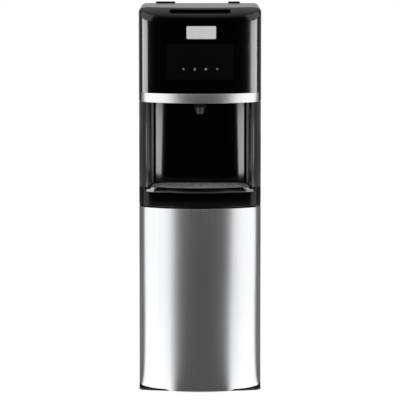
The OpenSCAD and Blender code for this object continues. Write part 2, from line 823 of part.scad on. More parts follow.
// The lift-out tray: a stepped basin with a ledge that carries the grille
module drip_tray() color("#17181a") from_front() {
  ledge = 3;
  difference() {
    union() {
      slab(tray_floor_z, tray_top) well_2d(tray_gap + ledge);
      slab(grille_seat_z - 4, tray_top) well_2d(tray_gap);
    }
    slab(tray_floor_z + 2, tray_top + 1) well_2d(tray_gap + 2 + ledge);
    slab(grille_seat_z, tray_top + 1) well_2d(tray_gap + 2);
  }
}

// The perforated plate that the cup stands on
module tray_grille() color("#2a2b2d") from_front() {
  z0 = grille_seat_z + seat_gap;
  row_step = mesh_pitch * sqrt(3) / 2;
  mid_y = nozzle_y;
  edge = mesh_r + 2.5;
  slab(z0, z0 + grille_t) difference() {
    well_2d(tray_gap + 2 + seat_gap);
    intersection() {
      for (row = [-12:12], col = [-16:16])
        let (p = [(col + (row % 2 == 0 ? 0 : 0.5)) * mesh_pitch, mid_y + row * row_step])
          if (mesh_fits(p, edge)) translate(p) circle(mesh_r);
      well_2d(tray_gap + 4);
    }
    translate([0, nozzle_y]) circle(splash_r);
    for (x = [-1, 1]) translate([x * finger_x, finger_y]) circle(finger_r);
  }
}
finger_y = 100;

// True where a hole of the mesh lies clear of the edges and of the larger holes
function mesh_fits(p, edge) =
  let (lim = tray_gap + well_in + 3 + edge, side = recess_x - 2 - tray_gap - 3 - edge,
    back = recess_y - 4 - tray_gap - edge, r = recess_corner_r - 3 - tray_gap - edge,
    lean = recess_lean * p[1] / (recess_y - recess_corner_r), cx = side - lean - r, cy = back - r)
  norm([p[0], bow_r - p[1]]) < bow_r - lim && abs(p[0]) < side - lean && p[1] < back
    && (p[1] < cy || abs(p[0]) < cx || norm([abs(p[0]) - cx, p[1] - cy]) < r)
    && norm(p - [0, nozzle_y]) > splash_r + mesh_r + 1.5
    && norm([abs(p[0]) - finger_x, p[1] - finger_y]) > finger_r + mesh_r + 1.5;

module nozzle_collar() color("#1d1e20") from_front() {
  difference() {
    rod_z(0, nozzle_y, ceiling_z - collar_h, ceiling_z - seat_gap, collar_r);
    rod_z(0, nozzle_y, ceiling_z - collar_h - 1, ceiling_z - collar_h + 6, cup_r + 0.2);
    rod_z(0, nozzle_y, ceiling_z - collar_h, ceiling_z, spout_x + spout_r + 2);
  }
}

module nozzle_cup() color([0.8, 0.82, 0.84, 0.6]) from_front() {
  z = ceiling_z - collar_h;
  translate([0, nozzle_y, z]) rotate_extrude()
    polygon([[mouth_r - 1.4, -cup_h], [mouth_r, -cup_h], [cup_r, -1], [cup_r, 5.7], [cup_r - 1.4, 5.7],
      [cup_r - 1.4, -1]]);
}

// The cold and the hot spout, side by side in the nozzle
module spouts() color("#c9ced2") from_front() {
  for (x = [-1, 1]) difference() {
    rod_z(x * spout_x, nozzle_y, ceiling_z - collar_h - cup_h + 4, tank_floor - 0.3 + 6, spout_r);
    rod_z(x * spout_x, nozzle_y, ceiling_z - collar_h - cup_h + 3, tank_floor + 20, spout_r - 0.8);
  }
}

// The door in plan, set in by d: the bowed front, less the back corner on the hinge side
module door_2d(d) {
  difference() {
    plan_2d(d, door_rear);
    translate([hinge_x, hinge_y + 3]) square([hw, hw]);
  }
}

// The bowed steel skin, folded over at the top and the bottom
module door_skin() color("#c4c5c7") from_front() {
  slab(door_z0, door_z1) difference() {
    door_2d(skin_in);
    plan_2d(skin_in + skin_t, big);
  }
  for (z = [door_z0, door_z1 - skin_t]) slab(z, z + skin_t) difference() {
    door_2d(skin_in);
    plan_2d(skin_in + hem_w, big);
    translate([-big, hinge_y - barrel_r - 2]) square([2 * big, big]);
  }
}
barrel_z0 = door_z0 + skin_t + 0.2;
barrel_z1 = door_z1 - skin_t - 0.2;
return_x = hinge_x - barrel_r - 3;

// The moulding that stiffens the door: a wall behind the skin, end caps, ribs, a back frame and the barrel
module door_core() color("#1d1e20") from_front() {
  inner = core_in + door_wall_t;
  difference() {
    union() {
      slab(barrel_z0, barrel_z1) difference() {
        union() {
          door_2d(core_in);
          translate([hinge_x, hinge_y]) circle(barrel_r);
        }
        intersection() {
          plan_2d(inner, door_rear - door_wall_t);
          translate([-hw, -1]) square([hw + return_x, hw]);
        }
      }
      for (i = [1:2]) let (z = barrel_z0 + i * (barrel_z1 - barrel_z0) / 3)
        slab(z, z + door_wall_t) difference() {
          intersection() {
            door_2d(core_in + 0.5);
            half_plane(door_rear - 1);
          }
          plan_2d(inner + 9, door_rear);
        }
    }
    // The way for the bottle, between the end caps
    slab(barrel_z0 + door_wall_t, barrel_z1 - door_wall_t) difference() {
      intersection() {
        plan_2d(inner, door_rear + 1);
        translate([-return_x, -1]) square([2 * return_x, hw]);
      }
      plan_2d(inner, door_rear - door_wall_t);
    }
    for (z = [barrel_z0 - 1, barrel_z1 - pin_grip])
      rod_z(hinge_x, hinge_y, z, z + pin_grip + 1, pin_r + run_gap);
  }
}

// The soft seal on the back of the door
module door_gasket() color("#8d9092") from_front() {
  y0 = door_rear + seat_gap / 2;
  w = 5;
  z0 = barrel_z0 + 0.5;
  z1 = barrel_z1 - 0.5;
  pushed(y0, panel_y - seat_gap) difference() {
    translate([-return_x - w, z0]) square([2 * (return_x + w), z1 - z0]);
    translate([-return_x, z0 + w]) square([2 * return_x, z1 - z0 - 2 * w]);
  }
}
magnet_z = shelf_z - 76;

module door_magnet() color("#4a4c50") from_front() {
  y1 = door_rear - door_wall_t - seat_gap;
  block(-return_x - 14, y1 - 6, magnet_z, -return_x - 2, y1, magnet_z + 30);
}

// The switch that feels the magnet, on the back of the folded edge of the left side panel
module reed_sensor() color("#2f3134") from_front() {
  y0 = panel_y + sheet_t + seat_gap;
  block(-return_x - 10, y0, magnet_z, -return_x - 1, y0 + 7, magnet_z + 30);
}

module hinge_pins() color("#a9acb0") from_front() {
  // Lower pin, with the collar that the door rests on
  rod_z(hinge_x, hinge_y, foot_h, barrel_z0 + pin_grip - 1, pin_r);
  rod_z(hinge_x, hinge_y, base_z, barrel_z0 - seat_gap / 2, pin_r + 3);
  // Upper pin
  rod_z(hinge_x, hinge_y, barrel_z1 - pin_grip + 1, housing_z + 5, pin_r);
  rod_z(hinge_x, hinge_y, barrel_z1 + seat_gap, housing_z - seat_gap / 2, pin_r + 3);
}

// The plate in the back corner of the bottle space that the bottle probe hangs in
module probe_dock() color("#55585c") from_front() {
  slab(dock_z, dock_z + probe_plate_t) difference() {
    intersection() {
      polygon(liner_pts(wall_t + seat_gap));
      translate([-hw, probe_y - probe_cap_r]) square([hw + probe_x + probe_cap_r, hw]);
    }
    translate([probe_x, probe_y]) circle(probe_r + 0.5);
  }
}

// The steel tube that goes into the bottle, with its strainer and the cap that closes the neck
module bottle_probe() color("#c5c8cb") from_front() {
  translate([probe_x, probe_y, cap_z]) difference() {
    union() {
      rotate_extrude() polygon([[0, probe_cap_h - 3], [probe_cap_r - 2.5, probe_cap_h - 3],
        [probe_cap_r - 2.5, 0], [probe_cap_r, 0], [probe_cap_r, probe_cap_h - 2],
        [probe_cap_r - 2, probe_cap_h], [0, probe_cap_h]]);
      translate([0, 0, -probe_l]) cylinder(h = probe_l + probe_cap_h - 1, r = probe_r);
      translate([0, 0, probe_cap_h - eps]) cylinder(h = 6, r = barb_r);
    }
    translate([0, 0, -probe_l - 1]) cylinder(h = probe_l + probe_cap_h + 20, r = barb_r - 1.2);
    // Slots of the strainer
    for (i = [0:4]) translate([-20, -1.2, -probe_l + 8 + i * 8]) cube([40, 2.4, 4]);
  }
}
hose_bottom = cap_z + probe_cap_h + 6 + seat_gap;
hose_top = barb_z - seat_gap;

module probe_hose() color("#dfe3e4") from_front() {
  difference() {
    rod_z(probe_x, probe_y, hose_bottom, hose_top, hose_r);
    rod_z(probe_x, probe_y, hose_bottom - 1, hose_top + 1, barb_r - 1);
  }
}
pump_top = pump_z + pump_foot_h + pump_h;

// The pump that lifts the water, on a rubber foot
module water_pump() color("#3a3c40") from_front() {
  translate([probe_x, probe_y, 0]) {
    translate([0, 0, barb_z]) cylinder(h = pump_z - barb_z + 1, r = barb_r);
    translate([0, 0, pump_z]) cylinder(h = pump_foot_h, r = pump_r - 4);
    translate([0, 0, pump_z + pump_foot_h - eps]) cylinder(h = 26, r = pump_r);
    translate([0, 0, pump_z + pump_foot_h + 25]) cylinder(h = pump_h - 35, r = pump_r - 4);
    translate([0, 0, pump_z + pump_foot_h]) cylinder(h = pump_h, r = barb_r);
  }
}
cold_z = tank_floor + foam_base_t;
cold_top = cold_z + cold_h;

module cold_tank() color("#b9bdc0") from_front() {
  translate([cold_x, cold_y, cold_z]) {
    rotate_extrude() polygon([[0, 0], [cold_r - 8, 0], [cold_r, 8], [cold_r, cold_h], [cold_r + 2.4, cold_h],
      [cold_r + 2.4, cold_h + 2], [cold_r - 1.2, cold_h + 2], [cold_r - 1.2, 8.6], [cold_r - 8.6, 1.2],
      [0, 1.2]]);
    // Lid with the inlet
    difference() {
      union() {
        translate([0, 0, cold_h + 2 + seat_gap / 2]) cylinder(h = 4, r = cold_r + 2.4);
        translate([0, cold_r / 2, cold_h + 5]) cylinder(h = 12, r = barb_r);
      }
      translate([0, cold_r / 2, cold_h - 5]) cylinder(h = 30, r = barb_r - 1.2);
    }
  }
}

// The foam block round the cold tank, hollow for the tank and its coil
module cold_tank_foam() color("#e9e6da") from_front() {
  translate([cold_x, cold_y, tank_floor]) difference() {
    cylinder(h = foam_base_t + cold_h + 1, r = foam_r);
    translate([0, 0, foam_base_t - seat_gap]) cylinder(h = cold_h + 10, r = coil_r + pipe_r + 0.5);
  }
}

// The pipe that winds up round the cold tank as one unbroken helix
module evaporator_coil() color("#b87350") from_front() {
  steps = 20;
  pitch = (cold_h - 30) / coil_turns;
  pipe([for (i = [0:coil_turns * steps]) let (a = 360 * i / steps)
    [cold_x + coil_r * cos(a), cold_y + coil_r * sin(a), cold_z + 14 + pitch * i / steps]], pipe_r, 6);
}
hot_z = tank_floor + jacket_base_t;

module hot_tank() color("#b9bdc0") from_front() {
  translate([hot_x, hot_y, hot_z]) difference() {
    union() {
      cylinder(h = hot_h, r = hot_r);
      // Flange of the heater, and the outlet in the middle of the top
      translate([0, 0, hot_h - eps]) cylinder(h = 4, r = 24);
      translate([0, 0, hot_h]) cylinder(h = 18, r = barb_r);
    }
    translate([0, 0, 1]) cylinder(h = hot_h - 2, r = hot_r - 1);
  }
}

module hot_tank_jacket() color("#7b7d80") from_front() {
  translate([hot_x, hot_y, tank_floor]) difference() {
    cylinder(h = jacket_base_t + hot_h - 22, r = jacket_r);
    translate([0, 0, jacket_base_t - seat_gap]) cylinder(h = hot_h, r = hot_r + seat_gap);
  }
}

// Two round thermostats on the top of the hot tank
module thermostats() color("#1a1b1d") from_front() {
  for (x = [-1, 1]) translate([hot_x + x * 33.5, hot_y, hot_z + hot_h + seat_gap / 2]) {
    cylinder(h = 6, r = 8);
    cylinder(h = 12, r = 5);
  }
}
valve_x = 15;
valve_z = tank_floor;
valve_port_z = valve_z + 12;

// The cold and the hot valve: a body over its spout, with its coil behind
module solenoid_valves() color("#e4e4e0") from_front() {
  for (x = [-1, 1]) difference() {
    union() {
      block(x * valve_x - 13, nozzle_y - 12, valve_z, x * valve_x + 13, nozzle_y + 12, valve_z + 22);
      rod_z(x * valve_x, nozzle_y, valve_z + 22 - eps, valve_z + 46, 11);
      rod_y(x * valve_x, valve_port_z, nozzle_y + 11, nozzle_y + 20, barb_r);
    }
    rod_z(x * spout_x, nozzle_y, valve_z - 1, valve_z + 6.5, spout_r + 0.2);
  }
}

// End of a straight hose on a round wall of radius r about c, on the side of point p, at height z
function on_wall(c, r, p, z) = let (q = c + (r + seat_gap) * unit(p - c)) [q[0], q[1], z];

module water_hoses() color("#dfe3e4") from_front() {
  port_y = nozzle_y + 20 + seat_gap;
  turn_y = port_y + 18;
  cold_c = [cold_x, cold_y];
  hot_c = [hot_x, hot_y];
  hose_z = cold_top + 40;
  lid_y = cold_y + cold_r / 2;
  r = hose_r;
  // From the pump up to the lid of the cold tank
  pipe(rounded_path([[probe_x, probe_y, pump_top + seat_gap], [probe_x, probe_y, hose_z],
    [cold_x, lid_y, hose_z], [cold_x, lid_y, cold_top + 17 + seat_gap]], 14), r);
  // From the tanks to their valves
  pipe(rounded_path([[-valve_x, port_y, valve_port_z], [-valve_x, turn_y, valve_port_z],
    on_wall(cold_c, foam_r, [-valve_x, turn_y], valve_port_z)], 8), r);
  pipe(rounded_path([[valve_x, port_y, valve_port_z], [valve_x, turn_y, valve_port_z],
    on_wall(hot_c, jacket_r, [valve_x, turn_y], valve_port_z)], 8), r);
  // From the cold tank to the hot tank
  pipe([on_wall(cold_c, foam_r, hot_c, tank_floor + 10),
    on_wall(hot_c, jacket_r, cold_c, tank_floor + 10)], r);
}

// The housing of the power electronics, with cooling ribs
module control_box() color("#2b2d30") from_front() {
  x0 = valve_x + 31;
  x1 = inner_x - 24;
  y0 = corner_y - 30;
  y1 = hot_y - jacket_r - 42;
  z1 = tank_floor + 96;
  block(x0, y0, tank_floor, x1, y1, z1 - 4);
  for (i = [0:7]) let (x = x0 + 4 + i * (x1 - x0 - 12) / 7) block(x, y0 + 4, z1 - 4 - eps, x + 3, y1 - 4, z1);
}
comp_top = comp_z + comp_foot_t + comp_h;

// The hermetic compressor: a welded pot on a foot plate, with the cover of its terminals
module compressor() color("#141416") from_front() {
  translate([comp_x, comp_y, comp_z]) {
    rotate_extrude() polygon(concat([[0, comp_foot_t]],
      arc_pts([comp_r - 24, 24 + comp_foot_t], 24, 270, 360, 8),
      arc_pts([comp_r - 34, comp_foot_t + comp_h - 34], 34, 0, 90, 10), [[0, comp_foot_t + comp_h]]));
    translate([0, 0, comp_h * 0.45]) cylinder(h = 5, r = comp_r + 2);
    difference() {
      linear_extrude(comp_foot_t + 1) rounded_2d(2 * comp_r + 14, 2 * comp_r - 8, 12);
      for (x = [-1, 1], y = [-1, 1]) translate([x * foot_hole_x, y * foot_hole_y, -1]) cylinder(h = 9, r = 4);
    }
    block(-comp_r - 12, -18, comp_h * 0.3, -comp_r + 14, 18, comp_h * 0.62);
    // Stubs of the pipes
    for (x = [-1, 1]) translate([x * stub_x, 0, comp_foot_t + comp_h - 6]) cylinder(h = 10, r = pipe_r + 0.6);
  }
}
foot_hole_x = comp_r - 6;
foot_hole_y = comp_r - 16;
stub_x = comp_r / 2 - 4;
stub_top = comp_top + 4;

module compressor_grommets() color("#0e0e0f") from_front() {
  for (x = [-1, 1], y = [-1, 1]) translate([comp_x + x * foot_hole_x, comp_y + y * foot_hole_y, pump_z])
    difference() {
      union() {
        cylinder(h = grommet_h, r = 8);
        cylinder(h = grommet_h + comp_foot_t + 3, r = 3.7);
      }
      translate([0, 0, -1]) cylinder(h = grommet_h + 10, r = 2);
    }
}
pipe_y = rear_in - 20;
end_side = cond_runs % 2 == 1 ? 1 : -1;
cond_start_x = -run_x / 2;
suction_x = comp_x - stub_x;
pipe_up_x = end_side * run_x;
pipe_out_x = pipe_up_x;
pipe_out_z = cond_top;
pipe_back_x = cond_start_x;
pipe_back_z = cond_z;
drier_z = cond_z + pipe_r + 12;
drier_h = 70;

// The condenser: one pipe that runs to and fro, with round bends at both sides
module condenser_coil() color("#161617") from_front() {
  last = cond_runs - 1;
  for (i = [0:last]) let (
      x0 = i == 0 ? cond_start_x + turn_r : i == last && end_side < 0 ? turn_r - run_x : -run_x,
      x1 = i == last && end_side > 0 ? run_x - turn_r : run_x)
    translate([x0, cond_y, cond_z + i * cond_pitch]) rotate([0, 90, 0]) cylinder(h = x1 - x0, r = pipe_r);
  for (i = [0:cond_runs - 2]) let (side = i % 2 == 0 ? 1 : -1)
    translate([side * run_x, cond_y, cond_z + (i + 0.5) * cond_pitch])
      rotate([90, 0, 0]) rotate([0, 0, side > 0 ? -90 : 90])
        rotate_extrude(angle = 180) translate([bend_r, 0]) circle(pipe_r);
  // The ends, turned in through the rear panels
  for (p = [[cond_start_x, cond_z, 1], [end_side * run_x, cond_top, -end_side]]) {
    translate([p[0] + p[2] * turn_r, cond_y - turn_r, p[1]]) rotate([0, 0, p[2] > 0 ? 90 : 0])
      rotate_extrude(angle = 90) translate([turn_r, 0]) circle(pipe_r);
    rod_y(p[0], p[1], pipe_y, cond_y - turn_r, pipe_r);
  }
}

module condenser_wires() color("#161617") from_front() {
  for (i = [0:wire_n - 1]) let (x = 4 - run_x + i * wire_pitch)
    rod_z(x, cond_y + pipe_r + wire_r + 0.05, cond_z - 8, cond_top + 8, wire_r);
}

// Blocks between two runs and two wires that carry the condenser, and keep it off the wall of the room
module condenser_brackets() color("#161617") from_front() {
  w = wire_pitch / 2 - wire_r - 0.5;
  h = cond_pitch / 2 - pipe_r - seat_gap;
  for (x = [-1, 1], i = [1, cond_runs - 3])
    translate([x * (run_x - 4 - 1.5 * wire_pitch), 0, cond_z + (i + 0.5) * cond_pitch])
      block(-w, rear_y + seat_gap / 2, -h, w, body_d, h);
}

// The refrigerant pipes inside, and the filter drier
module refrigerant_pipes() color("#b87350") from_front() {
  up_z = ceiling_z - 24;
  foam_c = [cold_x, cold_y];
  // Hot gas up to the condenser
  pipe(rounded_path([[comp_x + stub_x, comp_y, stub_top + seat_gap], [comp_x + stub_x, comp_y, up_z],
    [pipe_up_x, pipe_y, up_z], [pipe_up_x, pipe_y, cond_top - pipe_r - seat_gap]], 10), pipe_r, 6);
  // Drier, and the line from it to the evaporator
  rod_z(cond_start_x, pipe_y, drier_z, drier_z + drier_h, 9);
  rod_z(cond_start_x, pipe_y, cond_z + pipe_r + seat_gap, drier_z + eps, pipe_r);
  pipe(rounded_path([[cond_start_x, pipe_y, drier_z + drier_h - eps], [cond_start_x, pipe_y, tank_floor + 60],
    on_wall(foam_c, foam_r, [cond_start_x, pipe_y], tank_floor + 60)], 6), pipe_r, 6);
  // Suction line back to the compressor
  pipe(rounded_path([[suction_x, comp_y, stub_top + seat_gap], [suction_x, comp_y, up_z],
    [suction_x, pipe_y, up_z], [suction_x, pipe_y, tank_floor + 110],
    on_wall(foam_c, foam_r, [suction_x, pipe_y], tank_floor + 110)], 10), pipe_r, 6);
}
pivot_y = rear_y - 1;
pivot_r = 1.6;
plate_back = rear_y + seat_gap / 2;

// The plate of the three switches on the back, with the bodies of the switches behind it
module switch_plate() color("#101113") from_front() {
  difference() {
    union() {
      pushed(plate_back, plate_back + 2.4) translate([switch_x, switch_z])
        rounded_2d(3 * switch_pitch + 6, switch_h + 14, 4);
      for (i = [-1:1]) translate([switch_x + i * switch_pitch, 0, switch_z])
        block(-switch_w / 2 - 1.4, rear_in - 14, -switch_h / 2 - 1.4, switch_w / 2 + 1.4, plate_back + 1,
          switch_h / 2 + 1.4);
    }
    for (i = [-1:1]) translate([switch_x + i * switch_pitch, 0, switch_z])
      block(-switch_w / 2, rear_in - 12, -switch_h / 2, switch_w / 2, plate_back + 5, switch_h / 2);
    for (i = [-1:1]) translate([switch_x + i * switch_pitch, pivot_y, switch_z]) rotate([0, 90, 0])
      cylinder(h = switch_w + 1.8, r = pivot_r + run_gap, center = true);
    for (x = [-1, 1])
      rod_y(switch_x + x * (1.5 * switch_pitch - 3), switch_z + switch_h / 2 + 3.6,
        rear_y - 1, rear_y + 5, 1.6);
  }
}

// A rocker in its off position. It turns on two short pins in the walls of its body.
module rocker(i) {
  translate([switch_x + i * switch_pitch, pivot_y, switch_z]) rotate([-rocker_tilt, 0, 0]) {
    rotate([90, 0, 90]) linear_extrude(switch_w - 1, center = true)
      polygon([[-3, -8], [0, -10], [4.6, -10.2], [2.4, 0], [4.6, 10.2], [0, 10], [-3, 8],
        [-10, 3], [-10, -3]]);
    rotate([0, 90, 0]) cylinder(h = switch_w + 1.6, r = pivot_r, center = true);
  }
}

module heat_switch() color("#a3211c") from_front() rocker(-1);
module cool_switch() color("#1f6b3a") from_front() rocker(0);
module light_switch() color("#17181a") from_front() rocker(1);

// The drain: a threadless stub through the guard, with a flange on its outside
module drain_port() color("#e4e4e0") from_front() {
  difference() {
    union() {
      rod_y(port_x, port_z, rear_in - 16, rear_y + 8, port_r);
      rod_y(port_x, port_z, rear_y + seat_gap / 2, rear_y + 2.5, port_r + 4);
    }
    rod_y(port_x, port_z, rear_in - 20, rear_y + 12, port_r - 2.5);
  }
}

// The cap of the drain, with a fluted rim
module drain_cap() color("#17181a") from_front() {
  difference() {
    rod_y(port_x, port_z, rear_y + 2.5 + seat_gap, rear_y + 13, port_r + 4.5);
    rod_y(port_x, port_z, rear_y, rear_y + 8.4, port_r + run_gap);
    for (i = [0:15]) translate([port_x, 0, port_z]) rotate([0, i * 360 / 16, 0])
      rod_y(port_r + 5.2, 0, rear_y, rear_y + 15, 1.2);
  }
}

// The bush that the mains lead comes out of. The lead itself isn't part of the model.
module cord_gland() color("#17181a") from_front() {
  difference() {
    union() {
      rod_y(gland_x, port_z, rear_in - 6, rear_y + 1, 6.8);
      rod_y(gland_x, port_z, rear_y + seat_gap / 2, rear_y + 3, 10);
      rod_y(gland_x, port_z, rear_y + 2, rear_y + 8, 6.5);
    }
    rod_y(gland_x, port_z, rear_in - 8, rear_y + 12, 3.6);
  }
}

module panel_screws() color("#8f9296") from_front() {
  for (p = concat(lower_screws, guard_screws, upper_screws)) {
    rod_y(p[0], p[1], rear_in + 0.1, rear_y + 1, screw_r);
    rod_y(p[0], p[1], rear_y + 0.1, rear_y + 2.2, 2 * screw_r);
  }
}

base_plinth();
foot_pads();
left_side_panel();
right_side_panel();
lower_rear_panel();
upper_rear_panel();
compressor_guard();
compartment_liner();
bottle_rest();
mid_shelf();
tank_shelf();
top_cover();
front_fascia();
vent_insert();
bare_plate();
touch_window();
touch_board();
chrome_band();
recess_liner();
corner_pillars();
tray_housing();
drip_tray();
tray_grille();
nozzle_collar();
nozzle_cup();
spouts();
night_light_lens();
door_skin();
door_core();
door_gasket();
door_magnet();
reed_sensor();
hinge_pins();
probe_dock();
bottle_probe();
probe_hose();
water_pump();
cold_tank();
cold_tank_foam();
evaporator_coil();
hot_tank();
hot_tank_jacket();
thermostats();
solenoid_valves();
water_hoses();
control_box();
compressor();
compressor_grommets();
condenser_coil();
condenser_wires();
condenser_brackets();
refrigerant_pipes();
switch_plate();
heat_switch();
cool_switch();
light_switch();
drain_port();
drain_cap();
cord_gland();
panel_screws();
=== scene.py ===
"""Looks of a water dispenser that loads its bottle from below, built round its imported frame. Sizes are metres."""

import json
import math

import bmesh
import bpy
import mathutils
import numpy as np
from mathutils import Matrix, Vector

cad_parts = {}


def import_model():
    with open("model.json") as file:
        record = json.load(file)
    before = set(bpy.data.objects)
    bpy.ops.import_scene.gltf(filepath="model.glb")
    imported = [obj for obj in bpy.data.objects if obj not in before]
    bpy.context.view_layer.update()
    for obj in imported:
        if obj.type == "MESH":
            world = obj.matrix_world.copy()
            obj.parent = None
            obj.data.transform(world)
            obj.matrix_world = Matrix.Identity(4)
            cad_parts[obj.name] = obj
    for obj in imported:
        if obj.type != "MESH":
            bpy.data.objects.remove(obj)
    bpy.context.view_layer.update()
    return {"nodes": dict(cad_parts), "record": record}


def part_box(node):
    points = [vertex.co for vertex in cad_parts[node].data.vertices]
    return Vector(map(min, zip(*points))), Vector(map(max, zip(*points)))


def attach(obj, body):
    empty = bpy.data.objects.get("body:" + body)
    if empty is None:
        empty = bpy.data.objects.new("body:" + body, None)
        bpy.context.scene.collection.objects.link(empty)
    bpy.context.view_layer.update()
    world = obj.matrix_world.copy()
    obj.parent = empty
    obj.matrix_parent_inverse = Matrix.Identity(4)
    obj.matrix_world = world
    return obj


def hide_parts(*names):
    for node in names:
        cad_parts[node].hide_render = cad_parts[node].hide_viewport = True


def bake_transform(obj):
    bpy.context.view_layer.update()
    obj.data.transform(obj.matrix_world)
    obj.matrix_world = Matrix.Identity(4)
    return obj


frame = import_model()

# Driving sizes: the solids' own, as in the part's source, and those of the shapes that only this script draws.
# y runs back from the front of the head until FRONT is added.
HALF_W = 0.167
DEPTH = 0.355
TOP = 1.050
FRONT = -DEPTH / 2
# The bow of the front in plan, and the corner on each side of it
BOW_R = 0.255
CORNER_R = 0.060
# Heights, from the door up to the head
DOOR_Z = (0.0085, 0.506)
HOUSING_Z = 0.510
TRAY_Z = 0.561
CEILING_Z = 0.793
HEAD_Z = 0.7958
# The satin band along the bottom of the head
BAND_H = 0.0256
BAND_X = 0.160
# The head's rounded top edge, its shell, and the back and the lugs of its lid
NOSE_H = 0.038
NOSE_IN = 0.018
NOSE_END = math.radians(65)
SIDE_R = 0.016
WALL = 0.003
TOP_BACK = 0.345
LUG_SPANS = ((-0.124, -0.070), (0.079, 0.112))
# The bare plate, whose middle lies PLATE_S along the bow, the smoked window and its row of signs
PLATE_SIZE = (0.0800, 0.0345)
PLATE_S = 0.0035
PLATE_Z = TOP - 0.0662
WINDOW_SIZE = (0.185, 0.0965)
WINDOW_Z = TOP - 0.145
ICON_Z = 0.8856
ICON_X = (-0.0445, -0.0140, 0.0160, 0.0465)
ICON_OUT = 0.00035
# The liner's plan, and the cove and the facets that its wall is drawn with
RECESS_X = 0.145
RECESS_LEAN = 0.012
RECESS_R = 0.042
RECESS_Y = 0.178
COVE_X = 0.1216
COVE_Y = 0.1677
COVE_R = (0.105, 0.142)
COVE_TURN = math.radians(27.5)
FACET_TURN = math.radians(55)
WALL_SKIN = 0.0004
SEAM_Y = 0.101
POST_T = 0.0025
# The recess's ceiling, with the holes for the nozzle's collar and the night light's lens
CEILING_IN = 0.0019
CEILING_X = 0.1651
CEILING_BACK = 0.184
CEILING_T = 0.0025
COLLAR_R = 0.0089
LENS_SIZE = (0.0346, 0.0106)
LENS_Y = 0.060
# The holes of the grille, as (x, y, radius)
GRILLE_Z = 0.560
NOZZLE_Y = 0.096
HOLES = ((0, NOZZLE_Y, 0.0155), (-0.104, 0.100, 0.0075), (0.104, 0.100, 0.0075))
# Small steps: a seat between two pieces, and a skin's reach under and over its solid
SEAT = 0.0003
FLUSH = 0.0002
VENEER = 0.0003
BOW_HALF = math.asin((HALF_W - CORNER_R) / (BOW_R - CORNER_R))
CORNER_Y = BOW_R - (BOW_R - CORNER_R) * math.cos(BOW_HALF)
PANEL_Y = CORNER_Y + 0.003


# Shader maths

class Tree:
    """The nodes of one material or of the world, with a method that adds a node and sets it up."""

    def __init__(self, owner):
        owner.use_nodes = True
        self.tree = owner.node_tree
        self.tree.nodes.clear()

    def node(self, kind, settings=None, **inputs):
        """Adds a node, makes its settings, then links or sets each named or numbered socket."""
        made = self.tree.nodes.new(kind)
        for key, value in (settings or {}).items():
            setattr(made, key, value)
        for key, value in inputs.items():
            number = key[1:]
            socket = made.inputs[int(number) if key[0] == "_" and number.isdigit() else key.replace("_", " ")]
            if isinstance(value, Wire):
                self.tree.links.new(value.socket, socket)
            elif isinstance(value, bpy.types.NodeSocket):
                self.tree.links.new(value, socket)
            else:
                socket.default_value = value
        return made

    def wire(self, kind, settings=None, out=0, **inputs):
        return Wire(self, self.node(kind, settings, **inputs).outputs[out])

    def place(self):
        """Object coordinates, which are the part's own frame in metres."""
        return self.wire("ShaderNodeTexCoord", out="Object")

    def stretched(self, x, y, z):
        return self.wire("ShaderNodeMapping", None, 0, Vector=self.place(), Scale=(x, y, z))

    def noise(self, vector, scale, detail=3.0, rough=0.5):
        return self.wire("ShaderNodeTexNoise", None, 0, Vector=vector, Scale=scale, Detail=detail, Roughness=rough)

    def tone(self, factor, dark, light):
        return self.wire("ShaderNodeMix", {"data_type": "RGBA"}, 2, Factor=factor, _6=(*dark, 1), _7=(*light, 1))

    def bump(self, height, strength, distance):
        return self.wire("ShaderNodeBump", None, 0, Height=height, Strength=strength, Distance=distance)

    def principled(self, **inputs):
        shader = self.node("ShaderNodeBsdfPrincipled", None, **inputs)
        self.node("ShaderNodeOutputMaterial", None, Surface=shader.outputs[0])
        return shader


class Wire:
    """A socket that takes part in sums: a Python expression on wires adds its Math nodes."""

    def __init__(self, tree, socket):
        self.tree = tree
        self.socket = socket

    def _math(self, operation, *values):
        named = {f"_{i}": v for i, v in enumerate(values)}
        return self.tree.wire("ShaderNodeMath", {"operation": operation}, 0, **named)

    def __add__(self, other):
        return self._math("ADD", self, other)

    __radd__ = __add__

    def __sub__(self, other):
        return self._math("SUBTRACT", self, other)

    def __rsub__(self, other):
        return self._math("SUBTRACT", other, self)

    def __mul__(self, other):
        return self._math("MULTIPLY", self, other)

    __rmul__ = __mul__

    def size(self):
        return self._math("ABSOLUTE", self)

    def turn(self, other):
        """The angle of a point from its height, self, and its reach, other."""
        return self._math("ARCTAN2", self, other)

    def split(self, axis):
        return self.tree.wire("ShaderNodeSeparateXYZ", None, axis, Vector=self)

    def ramp(self, low, high, soft=False):
        """0 at low, 1 at high, and held outside."""
        return self.tree.wire("ShaderNodeMapRange", {"interpolation_type": "SMOOTHSTEP"} if soft else None, 0,
                              Value=self, _1=low, _2=high)


# Materials

def finish(name):
    """A new material and its tree."""
    material = bpy.data.materials.new(name)
    return material, Tree(material)


def shades(colour, spread):
    return tuple(c * (1 - spread) for c in colour), tuple(c * (1 + spread) for c in colour)


def moulded(name, colour, rough, grain=0.02, scale=900.0, spread=0.12):
    """Moulded plastic: a fine grain in its bump, slow mottling in its colour and its roughness."""
    material, t = finish(name)
    slow = t.noise(t.place(), 14.0, 4.0)
    fine = t.noise(t.place(), scale, 2.0)
    t.principled(Base_Color=t.tone(slow, *shades(colour, spread)), Roughness=slow * (rough * 0.3) + rough * 0.85,
                 Normal=t.bump(fine, grain * 10, 0.0001))
    return material


